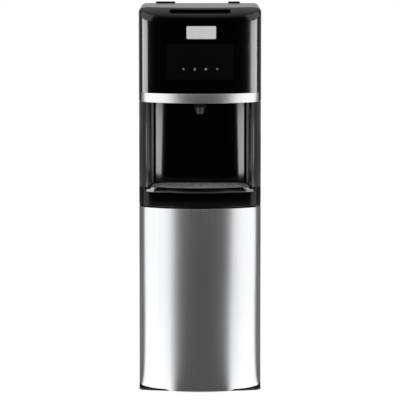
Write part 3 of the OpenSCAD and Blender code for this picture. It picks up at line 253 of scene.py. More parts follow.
def gloss(name, colour, rough):
    """High gloss plastic: near mirror, with a very slow orange peel, faint wipe marks and a little dust."""
    material, t = finish(name)
    peel = t.noise(t.place(), 38.0, 1.0)
    wiped = t.noise(t.stretched(60, 60, 9), 1.0, 3.0)
    dust = t.noise(t.place(), 6.0, 5.0)
    t.principled(Base_Color=t.tone(dust, *shades(colour, 0.2)), Roughness=wiped * 0.02 + dust * 0.03 + (rough - 0.025),
                 Normal=t.bump(peel, 0.015, 0.002))
    return material


def brushed(name, colour, rough, axis="z", depth=0.35, metal=1.0):
    """Brushed steel: long streaks along one axis, in colour, roughness and bump."""
    material, t = finish(name)
    along, over = 3.0, 1400.0
    scales = {"x": (along, over, over), "z": (over, over, along)}[axis]
    streak = t.noise(t.stretched(*scales), 1.0, 4.0, 0.7)
    wide = t.noise(t.stretched(*(s * 0.12 for s in scales)), 1.0, 3.0)
    cloud = t.noise(t.place(), 5.0, 3.0)
    mix = (streak * 0.6 + wide * 0.4).ramp(0.3, 0.7)
    t.principled(Base_Color=t.tone(mix, shades(colour, 0.1)[0], colour), Metallic=metal,
                 Roughness=streak * 0.1 + cloud * 0.04 + (rough - 0.07), Normal=t.bump(streak, depth, 0.0001))
    return material


def polished(name, colour, rough=0.06):
    """Bright metal: polished, with faint smears in its roughness."""
    material, t = finish(name)
    smear = t.noise(t.stretched(20, 20, 90), 1.0, 3.0)
    t.principled(Base_Color=(*colour, 1), Metallic=1.0, Roughness=smear * 0.05 + rough,
                 Normal=t.bump(smear, 0.02, 0.0005))
    return material


def painted(name, colour, rough=0.4):
    """Powder paint on sheet steel: a tight orange peel."""
    material, t = finish(name)
    peel = t.noise(t.place(), 700.0, 2.0)
    slow = t.noise(t.place(), 9.0, 3.0)
    t.principled(Base_Color=t.tone(slow, *shades(colour, 0.1)), Roughness=slow * 0.1 + rough,
                 Normal=t.bump(peel, 0.25, 0.0002))
    return material


def clear(name, colour, rough, weight=0.9):
    """Clear or milky plastic that light passes through."""
    material, t = finish(name)
    haze = t.noise(t.place(), 120.0, 3.0)
    t.principled(Base_Color=(*colour, 1), Roughness=haze * 0.08 + rough, Transmission_Weight=weight, IOR=1.46)
    return material


def hollow(name, level=0.06, rough=0.7):
    """The dull dark of a deep opening or a low black edge, with a little dust. level is how much it mirrors."""
    material, t = finish(name)
    dust = t.noise(t.place(), 300.0, 3.0)
    t.principled(Base_Color=t.tone(dust, (0.001,) * 3, (0.002,) * 3), Roughness=dust * 0.1 + rough,
                 Specular_IOR_Level=level)
    return material


def lined_with_painted_sheen(name, colour, rough):
    """The recess: gloss black at the back, with painted sheen: light grey on the inner sides past SHEEN_SIDE_X and a
    dimmer grey on the posts past SHEEN_POST_IN; the posts' own dark grey on their outer faces past POST_X."""
    material, t = finish(name)
    across = t.place().split(0).size()
    peel = t.noise(t.place(), 38.0, 1.0)
    wiped = t.noise(t.stretched(60, 60, 9), 1.0, 3.0)
    # Painted sheen: the recess's inner sides are painted light grey and the posts' inner faces a dimmer grey in place
    # of light falling on them; the posts' outer faces keep their own dark grey.
    tint = t.tone(across.ramp(SHEEN_SIDE_X - 0.0008, SHEEN_SIDE_X + 0.0008), colour, (0.20, 0.20, 0.203))
    for edge, grey in ((SHEEN_POST_IN, 0.085), (POST_X, 0.042)):
        tint = t.wire("ShaderNodeMix", {"data_type": "RGBA"}, 2, Factor=across.ramp(edge - 0.0008, edge + 0.0008),
                      _6=tint, _7=(grey, grey, grey * 1.01, 1))
    t.principled(Base_Color=tint, Roughness=wiped * 0.03 + (rough - 0.015), Normal=t.bump(peel, 0.015, 0.002))
    return material


def flecked_with_painted_holes(name, dark, light):
    """Grey plate with dark and pale flecks a few millimetres long: painted shade and painted highlights in place of the
    shadows in its small holes and their lit edges.
    """
    material, t = finish(name)
    # Painted shade and highlights: the dark flecks stand in for the shade in the grille's holes, the pale ones for
    # their lit edges.
    flecks = t.noise(t.stretched(300, 90, 90), 1.0, 2.0, 0.7).ramp(0.35, 0.65)
    fine = t.noise(t.place(), 900.0, 2.0)
    t.principled(Base_Color=t.tone(flecks, dark, light), Roughness=fine * 0.1 + 0.3, Normal=t.bump(fine, 0.3, 0.0001))
    return material


def printed(name, colour):
    """Pale ink behind glass, a little uneven, with a glow of its own where a lamp stands behind it."""
    material, t = finish(name)
    ink = t.noise(t.place(), 500.0, 2.0)
    tint = t.tone(ink, *shades(colour, 0.08))
    t.principled(Base_Color=tint, Roughness=0.3, Emission_Color=tint, Emission_Strength=0.15)
    return material


# Where the painted sheen on the recess's inner sides, the dimmer painted sheen on the posts and the posts' own dark
# grey on their outer faces begin, from the middle out
SHEEN_SIDE_X = 0.1285
SHEEN_POST_IN = 0.1335
POST_X = 0.1458
STEEL = (0.60, 0.605, 0.615)
INK = (0.0007, 0.0007, 0.0008)
FINISHES = {
    "black_plastic": lambda: moulded("black_moulding", (0.012, 0.012, 0.013), 0.34, 0.03),
    "gloss_fascia": lambda: gloss("gloss_black", INK, 0.13),
    # The recess's gloss black, with painted sheen on its inner sides and on the posts.
    "recess_gloss": lambda: lined_with_painted_sheen("recess_black_painted_sheen", INK, 0.13),
    "brushed_door": lambda: brushed("satin_door", STEEL, 0.29, "z", 0.12),
    "chrome_trim": lambda: brushed("satin_band", (0.62, 0.625, 0.635), 0.34, "x", 0.15),
    "plate_metal": lambda: brushed("plate_metal", (0.92, 0.92, 0.925), 0.45, "x", 0.2, 0.08),
    "side_paint": lambda: painted("side_paint", (0.03, 0.031, 0.033)),
    "zinc_sheet": lambda: brushed("zinc_sheet", (0.5, 0.51, 0.52), 0.38, "x"),
    "liner_plastic": lambda: moulded("liner_grey", (0.42, 0.43, 0.44), 0.5, 0.05),
    "touch_glass": lambda: gloss("smoked_window", (0.0045, 0.0038, 0.0041), 0.09),
    "grille_grey": lambda: flecked_with_painted_holes("grille_grey", (0.18,) * 3, (0.85,) * 3),
    "rim_metal": lambda: brushed("rim_metal", (0.8, 0.8, 0.8), 0.4, "x", 0.1, 0.5),
    "smoked_cup": lambda: gloss("smoked_cup", (0.05, 0.05, 0.052), 0.08),
    "top_black": lambda: moulded("top_black", (0.014, 0.014, 0.015), 0.3, 0.04),
    "vent_black": lambda: hollow("vent_black"),
    "lip_black": lambda: hollow("lip_black", 0.22, 0.3),
    "board_green": lambda: moulded("board_green", (0.02, 0.12, 0.05), 0.35),
    "clear_plastic": lambda: clear("clear_cup", (0.9, 0.93, 0.95), 0.12),
    "rubber_black": lambda: moulded("black_rubber", (0.014, 0.014, 0.014), 0.7, 0.08),
    "seal_grey": lambda: moulded("seal_grey", (0.22, 0.23, 0.24), 0.6, 0.04),
    "stainless": lambda: brushed("stainless", (0.6, 0.61, 0.62), 0.3, "x"),
    "hose_silicone": lambda: clear("milky_hose", (0.86, 0.88, 0.88), 0.3, 0.35),
    "foam_cream": lambda: moulded("foam_cream", (0.75, 0.7, 0.55), 0.85, 0.2, 300.0),
    "jacket_grey": lambda: moulded("jacket_grey", (0.2, 0.21, 0.22), 0.9, 0.2, 500.0),
    "copper": lambda: polished("copper_pipe", (0.75, 0.38, 0.25), 0.22),
    "black_enamel": lambda: painted("black_enamel", (0.012, 0.012, 0.012), 0.3),
    "switch_red": lambda: moulded("switch_red", (0.45, 0.02, 0.015), 0.25, 0.01),
    "switch_green": lambda: moulded("switch_green", (0.02, 0.2, 0.06), 0.25, 0.01),
    "white_plastic": lambda: moulded("white_moulding", (0.7, 0.7, 0.67), 0.4),
    "icon_ink": lambda: printed("icon_ink", (0.26, 0.26, 0.26)),
}
made_finishes = {}


def finish_of(slot_name):
    if slot_name not in made_finishes:
        made_finishes[slot_name] = FINISHES[slot_name]()
    return made_finishes[slot_name]


# Mesh building

SHARP = 35.0


def build(name, verts, faces):
    """A mesh object from points and faces, smooth but for edges sharper than SHARP degrees."""
    mesh = bpy.data.meshes.new(name)
    mesh.from_pydata(np.asarray(verts, dtype=float).tolist(), [], [list(map(int, f)) for f in faces])
    mesh.update()
    mesh.shade_smooth()
    mesh.set_sharp_from_angle(angle=math.radians(SHARP))
    obj = bpy.data.objects.new(name, mesh)
    bpy.context.scene.collection.objects.link(obj)
    return obj


def fixed(obj, sharp=SHARP):
    """Merges doubles and turns every face outwards."""
    bm = bmesh.new()
    bm.from_mesh(obj.data)
    bmesh.ops.remove_doubles(bm, verts=bm.verts, dist=1e-6)
    bmesh.ops.recalc_face_normals(bm, faces=bm.faces)
    bm.to_mesh(obj.data)
    bm.free()
    obj.data.shade_smooth()
    obj.data.set_sharp_from_angle(angle=math.radians(sharp))
    return obj


def joined(name, pieces):
    """Several closed shapes as one object."""
    verts, faces = [], []
    for piece in pieces:
        start = len(verts)
        verts += [tuple(v.co) for v in piece.data.vertices]
        faces += [[start + i for i in face.vertices] for face in piece.data.polygons]
        bpy.data.objects.remove(piece)
    return build(name, verts, faces)


def grid_faces(rows, cols, wrap_rows=False, wrap_cols=False):
    """Quads over a grid of points that is stored row by row."""
    i, j = np.meshgrid(np.arange(rows if wrap_rows else rows - 1), np.arange(cols if wrap_cols else cols - 1),
                       indexing="ij")
    a = i * cols + j
    b = i * cols + (j + 1) % cols
    c = (i + 1) % rows * cols + (j + 1) % cols
    d = (i + 1) % rows * cols + j
    return np.stack([a, b, c, d], -1).reshape(-1, 4).tolist()


def arc(cx, cy, r, a0, a1, n):
    """Points on an arc from a0 to a1 in degrees, with their outward normals."""
    a = np.radians(np.linspace(a0, a1, n))
    out = np.stack([np.cos(a), np.sin(a)], -1)
    return np.array([cx, cy]) + r * out, out


def front_path(back=CORNER_Y, bow_n=72, corner_n=28, side_n=6):
    """The head's outline in plan from left to right: sides, corners and bow, with outward normals."""
    cx, a = HALF_W - CORNER_R, math.degrees(BOW_HALF)
    left = arc(-cx, CORNER_Y, CORNER_R, 180, 270 - a, corner_n)
    bow = arc(0, BOW_R, BOW_R, 270 - a, 270 + a, bow_n)
    right = arc(cx, CORNER_Y, CORNER_R, 270 + a, 360, corner_n)
    points = [left[0], bow[0][1:-1], right[0]]
    normals = [left[1], bow[1][1:-1], right[1]]
    if back > CORNER_Y:
        ys = np.linspace(back, CORNER_Y, side_n)[:-1]
        side = np.stack([np.full_like(ys, -HALF_W), ys], -1)
        out = np.tile([-1.0, 0.0], (len(ys), 1))
        points = [side] + points + [side[::-1] * [-1, 1]]
        normals = [out] + normals + [out * [-1, 1]]
    return np.concatenate(points), np.concatenate(normals)


def within(path, keep):
    """The stretch of a path whose points pass a test."""
    points, normals = path
    mask = keep(points)
    return points[mask], normals[mask]


def rounded(corners, radius, steps=3):
    """A closed outline whose corners are rounded with a quadratic curve."""
    pts = np.asarray(corners, dtype=float)
    before, after = np.roll(pts, 1, 0), np.roll(pts, -1, 0)
    out = []
    for p, a, b in zip(pts, before, after):
        ra = min(radius, np.linalg.norm(a - p) * 0.45)
        rb = min(radius, np.linalg.norm(b - p) * 0.45)
        da, db = (a - p) / np.linalg.norm(a - p), (b - p) / np.linalg.norm(b - p)
        t = np.linspace(0, 1, steps + 1)[:, None]
        out.append(p + da * ra * (1 - t) ** 2 + db * rb * t ** 2)
    return np.concatenate(out)


def carried(name, path, profile):
    """A closed profile of (set-in, height) points carried along a path in plan, with both ends closed. The
    profile is one outline, or one for each point of the path."""
    points, normals = path
    prof = np.broadcast_to(np.asarray(profile, dtype=float), (len(points), *np.shape(profile)[-2:]))
    n, m = prof.shape[:2]
    xy = points[:, None, :] - normals[:, None, :] * prof[..., 0:1]
    verts = np.concatenate([xy, prof[..., 1:2]], -1)
    verts[..., 1] += FRONT
    faces = grid_faces(n, m, wrap_cols=True)
    faces += [list(range(m))[::-1], list(range((n - 1) * m, n * m))]
    return fixed(build(name, verts.reshape(-1, 3), faces))


def prism(name, outline, z0, z1, soften=0.0, steps=4):
    """A flat outline in plan raised from z0 to z1, its upper edge rounded over by soften: each ring is the
    outline drawn towards its middle. y in the outline runs back from the front."""
    pts = np.asarray(outline, dtype=float)
    middle, reach = pts.mean(0), np.ptp(pts, axis=0) / 2
    turn = np.linspace(0, math.pi / 2, steps + 1)
    rings = [(0.0, z0)] + [(soften * (1 - math.cos(a)), z1 - soften * (1 - math.sin(a))) for a in turn]
    rows = [np.column_stack([middle + (pts - middle) * (1 - d / reach), np.full(len(pts), z)]) for d, z in rings]
    verts = np.concatenate(rows)
    verts[:, 1] += FRONT
    n = len(pts)
    faces = grid_faces(len(rings), n, wrap_cols=True) + [list(range(n))[::-1],
                                                        list(range((len(rings) - 1) * n, len(rings) * n))]
    return fixed(build(name, verts, faces))


def bow_point(s, z, out):
    """A point on the bowed front: s along the bow, z up, out in front of the head's surface."""
    a = s / BOW_R
    r = BOW_R + out
    return np.stack([r * np.sin(a), FRONT + BOW_R - r * np.cos(a), z], -1)


def box_loop(w, h, r, n=8, step=0.003):
    """A rectangle with round corners, centred, as a closed loop with outward normals. Points lie at most step
    apart along its edges."""
    corners = [arc(sx * (w / 2 - r), sy * (h / 2 - r), r, a, a + 90, n)
               for sx, sy, a in ((1, 1, 0), (-1, 1, 90), (-1, -1, 180), (1, -1, 270))]
    points, normals = [], []
    for (p, q), (p_next, _) in zip(corners, corners[1:] + corners[:1]):
        count = max(2, int(np.linalg.norm(p_next[0] - p[-1]) / step) + 1)
        t = np.linspace(0, 1, count)[1:-1, None]
        points += [p, p[-1] * (1 - t) + p_next[0] * t]
        normals += [q, np.tile(q[-1], (len(t), 1))]
    return np.concatenate(points), np.concatenate(normals)


def bow_patch(name, loop, centre_z, steps, back, fill=6, centre_s=0.0):
    """A plate that lies on the bow: its outline drawn in by each (set-in, out) step, then filled inwards in
    rings, with walls down to the depth back."""
    points, normals = loop
    rings = [(points * k / fill, -back) for k in range(1, fill)] + [(points, -back)]
    rings += [(points - normals * d, out) for d, out in steps]
    inner, last = rings[-1]
    rings += [(inner * (1 - k / fill), last) for k in range(1, fill)]
    n = len(points)
    verts = [bow_point(centre_s + p[:, 0], centre_z + p[:, 1], out) for p, out in rings]
    middle = np.array([centre_s]), np.array([centre_z])
    verts += [bow_point(*middle, last), bow_point(*middle, -back)]
    faces = grid_faces(len(rings), n, wrap_cols=True)
    top, bottom, last_row = len(rings) * n, len(rings) * n + 1, (len(rings) - 1) * n
    faces += [[last_row + j, last_row + (j + 1) % n, top] for j in range(n)]
    faces += [[(j + 1) % n, j, bottom] for j in range(n)]
    return fixed(build(name, np.concatenate(verts), faces))


def turned(name, profile, cx, cy, n=64):
    """A closed outline of (radius, height) points turned about an upright axis."""
    prof = np.asarray(profile, dtype=float)
    a = np.linspace(0, 2 * math.pi, n, endpoint=False)
    x = cx + prof[:, 0][None] * np.cos(a)[:, None]
    y = cy + prof[:, 0][None] * np.sin(a)[:, None]
    z = np.broadcast_to(prof[:, 1][None], x.shape)
    faces = grid_faces(n, len(prof), wrap_rows=True, wrap_cols=True)
    return fixed(build(name, np.stack([x, y, z], -1).reshape(-1, 3), faces))


def cut(obj, cutter):
    """Takes one closed shape away from another and drops the cutter."""
    modifier = obj.modifiers.new("cut", "BOOLEAN")
    modifier.operation = "DIFFERENCE"
    modifier.solver = "EXACT"
    modifier.object = cutter
    bpy.context.view_layer.update()
    mesh = bpy.data.meshes.new_from_object(obj.evaluated_get(bpy.context.evaluated_depsgraph_get()))
    obj.modifiers.clear()
    obj.data = mesh
    bpy.data.objects.remove(cutter)
    return obj


def pushed_loop(name, loop, y0, y1, centre_z):
    """A loop in x and z pushed back from y0 to y1, as a closed prism."""
    n = len(loop)
    rows = [np.stack([loop[:, 0], np.full(n, FRONT + y), loop[:, 1] + centre_z], -1) for y in (y0, y1)]
    faces = grid_faces(2, n, wrap_cols=True) + [list(range(n))[::-1], list(range(n, 2 * n))]
    return fixed(build(name, np.concatenate(rows), faces))


def dress(obj, slot_name, body, *nodes, material=None):
    """Gives a new piece its finish, its body if one is given, and the nodes that it stands for."""
    obj.data.materials.clear()
    obj.data.materials.append(finish_of(material or slot_name))
    if body:
        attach(obj, body)
    if nodes:
        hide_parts(*nodes)
    return obj


# The head

def eased(u):
    """0 to 1 with a soft start and end, and held outside."""
    u = np.clip(u, 0, 1)
    return u * u * (3 - 2 * u)


def side_share(normals):
    """How far a point of the outline has turned from the bow, 0, to the side, 1, with a soft start and end."""
    turn = np.arctan2(np.abs(normals[:, 0]), -normals[:, 1])
    return eased((turn - BOW_HALF) / (math.pi / 2 - BOW_HALF))


def head_edge(share, t):
    """Set-in, height and slope of the head's rounded top edge, for t from 0 at its foot to 1 at the flat top.
    The front rolls in by 65 degrees and leaves a crease. The sides turn by a right angle on SIDE_R."""
    share, t = np.asarray(share, dtype=float)[:, None], np.asarray(t, dtype=float)[None]
    a, b = NOSE_END * t, math.pi / 2 * t
    front_in = NOSE_IN * (1 - np.cos(a)) / (1 - math.cos(NOSE_END))
    set_in = front_in * (1 - share) + SIDE_R * (1 - np.cos(b)) * share
    height = TOP - NOSE_H * (1 - np.sin(a) / math.sin(NOSE_END)) * (1 - share) - SIDE_R * (1 - np.sin(b)) * share
    return set_in, height, a * (1 - share) + b * share


def head_profile(share, foot, n=22):
    """Outer line from foot up the straight wall and over the rounded edge, and the inner line back, WALL inside."""
    set_in, height, slope = head_edge(share, np.linspace(0, 1, n))
    rows = len(share)
    level = lambda k: foot + (height[:, :1] - foot) * k
    lead = [(np.full((rows, 1), d), level(k)) for d, k in ((SEAT, 0.0), (0.0, 0.002), (0.0, 0.3), (0.0, 0.7))]
    inner_in, inner_z = set_in + WALL * np.cos(slope), height - WALL * np.sin(slope)
    tail = (np.full((rows, 1), WALL), level(0.0))
    across = [d for d, _ in lead] + [set_in, inner_in[:, ::-1], tail[0]]
    up = [z for _, z in lead] + [height, inner_z[:, ::-1], tail[1]]
    return np.stack([np.concatenate(across, 1), np.concatenate(up, 1)], -1)


# The vent's slot in the rounded edge
VENT_W, VENT_H, VENT_Z = 0.166, 0.011, TOP - 0.0102


def make_fascia():
    """The gloss shell of the head, with the vent's slot through its rounded edge and a seat cut for the band."""
    path = front_path(PANEL_Y - SEAT, 96, 40)
    fascia = carried("fascia_shell", path, head_profile(side_share(path[1]), HEAD_Z))
    slot_loop, _ = box_loop(VENT_W, VENT_H, VENT_H / 2 - 1e-5, 12)
    cut(fascia, pushed_loop("vent_cutter", slot_loop, -0.01, 0.06, VENT_Z))
    low, high = HEAD_Z - 0.01, CEILING_Z + BAND_H + SEAT
    cut(fascia, carried("band_cutter", within(front_path(), lambda p: abs(p[:, 0]) <= BAND_X + 0.0005),
                        [(-0.002, low), (0.0018, low), (0.0018, high), (-0.002, high)]))
    fascia.data.set_sharp_from_angle(angle=math.radians(30))
    return dress(fascia, "gloss_fascia", "cabinet", "front_fascia")


def make_top():
    """The lid: a flat plate inside the crease, a rounded skirt over each side panel, the back wall and its lugs."""
    t = np.linspace(0, 1, 14)
    foot = TOP - NOSE_H
    points, normals = front_path(TOP_BACK, 96, 40)
    set_in, _, _ = head_edge(side_share(normals), [1.0])
    edge = points - normals * (set_in + SEAT)
    edge[[0, -1]] = points[[0, -1]] - normals[[0, -1]] * SIDE_R
    pieces = [prism("plate", edge, TOP - WALL, TOP)]
    ys = np.linspace(TOP_BACK, PANEL_Y, 5)
    for side in (-1, 1):
        line = np.stack([np.full_like(ys, side * HALF_W), ys], -1)[::-side]
        out = np.tile([float(side), 0.0], (len(ys), 1))
        pieces.append(carried("skirt", (line, out), head_profile(np.ones(len(ys)), foot)))
    over, up, _ = head_edge([1.0], t)
    left = np.stack([-HALF_W + over[0], up[0]], -1)
    outline = np.concatenate([[(-HALF_W, foot)], left, left[::-1] * [-1, 1], [(HALF_W, foot)]])
    pieces.append(pushed_loop("back_wall", outline, TOP_BACK - WALL, TOP_BACK, 0.0))
    for x0, x1 in LUG_SPANS:
        loop, _ = box_loop(x1 - x0, 0.012, 0.003)
        pieces.append(prism("lug", loop + [(x0 + x1) / 2, TOP_BACK - 0.009], TOP - 0.001, TOP + 0.005, 0.001))
    return dress(joined("top_lid", pieces), "black_plastic", "cabinet", "top_cover", material="top_black")


def make_band():
    """The satin band, a rounded strip along the bow."""
    path = within(front_path(bow_n=96), lambda p: abs(p[:, 0]) <= BAND_X)
    z0, z1 = CEILING_Z, CEILING_Z + BAND_H
    profile = rounded([(-0.0004, z0), (0.0016, z0), (0.0016, z1), (-0.0004, z1)], 0.0011, 4)
    return dress(carried("satin_strip", path, profile), "chrome_trim", "cabinet", "chrome_band")


def make_plate():
    """The bare silver plate, a thin sheet on the bow with a raised rim."""
    loop = box_loop(*PLATE_SIZE, 0.003)
    steps = [(0.0, 0.0001), (0.00012, 0.00035), (0.0004, 0.0005), (0.0012, 0.0005), (0.0016, 0.00035),
             (0.0022, 0.00035)]
    return dress(bow_patch("silver_plate", loop, PLATE_Z, steps, 0.0007, centre_s=PLATE_S), "plate_metal",
                 "cabinet", "bare_plate")


def make_window():
    """The smoked window, a thin sheet on the bow, 0.2 mm proud."""
    loop = box_loop(*WINDOW_SIZE, 0.006)
    steps = [(0.0, -0.0003), (0.0003, 0.00015), (0.0008, 0.0002)]
    return dress(bow_patch("smoked_window", loop, WINDOW_Z, steps, 0.0012, 12), "touch_glass", "cabinet",
                 "touch_window")


def star(points, outer, inner):
    """A closed outline that swings between two radii."""
    a = np.arange(2 * points) * math.pi / points + math.pi / 2
    r = np.where(np.arange(2 * points) % 2 == 0, outer, inner)
    return np.stack([r * np.cos(a), r * np.sin(a)], -1)


def drop(r, tip):
    """A round drop that is drawn up to a point."""
    a = np.radians(np.linspace(-215, 35, 22))
    body = np.stack([r * np.cos(a), r * np.sin(a) - r * 0.35], -1)
    return np.concatenate([body, [(0.0, tip)]])


def rayed(r0, r1, n=28):
    """A disc with eight square rays, as one outline."""
    a = np.linspace(0, 2 * math.pi, n * 2, endpoint=False)
    r = np.where(np.cos(a * 8) > 0.3, r1, r0)
    return np.stack([r * np.cos(a), r * np.sin(a)], -1)


def make_icons():
    """Four small printed signs for hot, cold, room water and the night light."""
    shapes = (star(6, 0.0040, 0.0018), drop(0.0027, 0.0043), rayed(0.0025, 0.0038), star(4, 0.0044, 0.0015))
    pieces = []
    for s, shape in zip(ICON_X, shapes):
        n = len(shape)
        rows = [bow_point(s + shape[:, 0], ICON_Z + shape[:, 1], out) for out in (-SEAT, ICON_OUT)]
        verts = np.concatenate(rows + [bow_point(np.array([s]), np.array([ICON_Z]), ICON_OUT)])
        faces = grid_faces(2, n, wrap_cols=True) + [list(range(n))[::-1]]
        faces += [[n + j, n + (j + 1) % n, 2 * n] for j in range(n)]
        pieces.append(fixed(build("sign", verts, faces)))
    return dress(joined("touch_signs", pieces), "touch_glass", "cabinet", material="icon_ink")


# The recess and the band under it

# Where the steeper patches of the band's bevel start and end
PATCH_X = (0.1255, 0.1480)


def make_housing():
    """The face of the gloss band under the recess, a thin skin over its solid. Its top edge is a bevel: low and
    flat in the middle, steeper in a short patch near each corner, and square past the patches."""
    points, normals = front_path(CORNER_Y + 0.0015, 120, 40)
    z0, z1 = HOUSING_Z, TRAY_Z
    out, back = FLUSH, 0.0175

    def outline(set_in, drop_z, rim):
        return rounded([(out, z0), (out + 0.003, z0), (out + 0.003, z0 + 0.012), (back, z0 + 0.03), (back, z1 + VENEER),
                        (out + set_in, z1 + VENEER), (out, z1 - drop_z)], rim, 4)

    kinds = [outline(0.0138, 0.0112, 0.0012), outline(0.0075, 0.0120, 0.0006), outline(0.0016, 0.0016, 0.0006)]
    x = np.abs(points[:, 0])
    steps = [np.clip((x - edge) / 0.0012, 0, 1)[:, None, None] for edge in PATCH_X]
    profile = kinds[0] * (1 - steps[0]) + kinds[1] * steps[0]
    profile = profile * (1 - steps[1]) + kinds[2] * steps[1]
    return dress(carried("band_skin", (points, normals), profile), "gloss_fascia", "cabinet")


def recess_plan(k, n=40):
    """The recess wall in plan, from the left front to the right front, with normals out of the recess. Each side
    leans in like the liner's, a steep facet passes the corner of the tray where it is lifted out, and the back is a
    cove that starts at COVE_TURN and flattens to the middle. Its radius grows from the bottom, k = 0, to the top."""
    start_y, r = COVE_Y, COVE_R[0] + (COVE_R[1] - COVE_R[0]) * k
    lean, steep = RECESS_LEAN / (RECESS_Y - RECESS_R), math.tan(FACET_TURN)
    edge_x = (RECESS_X - lean * (start_y + COVE_X * steep)) / (1 - lean * steep)
    edge_y = start_y - (edge_x - COVE_X) * steep
    ys = np.linspace(SEAM_Y - 0.004, edge_y, 12)
    side = np.stack([lean * ys - RECESS_X, ys], -1)
    t = np.linspace(0, 1, 4)[1:, None]
    facet = [-edge_x, edge_y] + t * [edge_x - COVE_X, start_y - edge_y]
    a = np.linspace(COVE_TURN, 0, n)[1:]
    cx = COVE_X - r * math.sin(COVE_TURN)
    cove = np.stack([-(cx + r * np.sin(a)), start_y + r * (np.cos(a) - math.cos(COVE_TURN))], -1)
    middle = np.stack([np.linspace(-cx, 0, 8)[1:], np.full(7, cove[-1, 1])], -1)
    turns = np.concatenate([np.full(len(side), math.pi / 2 - math.atan(lean)), np.full(len(facet), FACET_TURN), a,
                            np.zeros(len(middle))])
    half = np.concatenate([side, facet, cove, middle])
    out = np.stack([-np.sin(turns), np.cos(turns)], -1)
    return np.concatenate([half, half[-2::-1] * [-1, 1]]), np.concatenate([out, out[-2::-1] * [-1, 1]])


def make_recess():
    """The recess wall as a thin closed shell: its inner face is lofted from the plan at the bottom to the plan at
    the top, and its outer face lies WALL_SKIN outside."""
    z0, z1 = TRAY_Z + SEAT, CEILING_Z - 0.0002
    rows = []
    for k in np.linspace(0, 1, 9):
        points, _ = recess_plan(k)
        rows.append(np.column_stack([points, np.full(len(points), z0 + (z1 - z0) * k)]))
    inner = np.array(rows)
    _, normals = recess_plan(0.5)
    outer = inner + np.column_stack([normals * WALL_SKIN, np.zeros(len(normals))])
    verts = np.concatenate([inner, outer[::-1]])
    verts[..., 1] += FRONT
    m, n = verts.shape[:2]
    faces = grid_faces(m, n, wrap_rows=True)
    for col in (0, n - 1):
        faces += [[i * n + col, (i + 1) * n + col, (m - 2 - i) * n + col, (m - 1 - i) * n + col]
                  for i in range(m // 2 - 1)]
    return dress(fixed(build("recess_wall", verts.reshape(-1, 3), faces), 20), "gloss_fascia", "cabinet",
                 material="recess_gloss")


def make_ceiling():
    """The ceiling of the recess, with its holes for the nozzle's collar and the night light's lens. With the wall,
    it stands for the liner."""
    points, normals = front_path(CORNER_Y)
    corners = (1, CORNER_Y), (1, CEILING_BACK), (-1, CEILING_BACK), (-1, CORNER_Y)
    outline = np.concatenate([points - normals * CEILING_IN, [(side * CEILING_X, y) for side, y in corners]])
    ceiling = prism("recess_ceiling", outline, CEILING_Z, CEILING_Z + CEILING_T, steps=0)
    collar = arc(0, NOZZLE_Y, COLLAR_R, 0, 352.5, 48)[0]
    lens = np.array([(-1, -1), (1, -1), (1, 1), (-1, 1)]) * LENS_SIZE / 2 + [0, LENS_Y]
    for hole in (collar, lens):
        cut(ceiling, prism("hole", hole, CEILING_Z - 0.001, CEILING_Z + CEILING_T + 0.001, steps=0))
    return dress(fixed(ceiling, 20), "gloss_fascia", "cabinet", "recess_liner", material="recess_gloss")


def pillar_path(side):
    """A pillar in plan: from its back edge round the corner to a small round nose, then back beside the
    recess. Normals point outwards."""
    points, normals = front_path(CORNER_Y + 0.002)
    points = points - normals * FLUSH
    slope = 0.1
    edge = lambda y: -(RECESS_X - slope * y)
    keep = points[:, 0] < edge(points[:, 1]) - 0.004
    outer = points[keep & (points[:, 0] < 0)]
    nose = outer[-1]
    heading = outer[-1] - outer[-2]
    heading = heading / np.linalg.norm(heading)
    reach = (edge(nose[1]) - nose[0]) / heading[0]
    tip = nose + heading * reach
    far = np.array([edge(tip[1] + 0.006), tip[1] + 0.006])
    t = np.linspace(0, 1, 10)[1:, None]
    curve = nose * (1 - t) ** 2 + tip * 2 * t * (1 - t) + far * t ** 2
    ys = np.linspace(far[1], SEAM_Y - 0.0005, 8)[1:]
    inner = np.stack([edge(ys), ys], -1)
    line = np.concatenate([outer, curve, inner])
    step = np.gradient(line, axis=0)
    step /= np.linalg.norm(step, axis=1)[:, None]
    out = np.stack([step[:, 1], -step[:, 0]], -1)
    return (line, out) if side < 0 else (line[::-1] * [-1, 1], out[::-1] * [-1, 1])


def make_pillars():
    """The corner posts beside the recess: thin sheets that follow pillar_path."""
    z0, z1 = TRAY_Z + SEAT, CEILING_Z - SEAT
    profile = rounded([(0.0, z0), (POST_T, z0), (POST_T, z1), (0.0, z1)], 0.0006, 2)
    pieces = [carried("pillar", pillar_path(side), profile) for side in (-1, 1)]
    return dress(joined("corner_posts", pieces), "gloss_fascia", "cabinet", "corner_pillars",
                 material="recess_gloss")


# The door, the grille's rims and the hose

# The door's steel and its hem, and how far its lower edge hangs in the middle and rises at the corners
STEEL_T = 0.001
HEM = 0.008
SAG = 0.0045
SAG_X = (0.078, 0.097)
LIFT = 0.009
LIFT_X = (0.145, 0.1665)


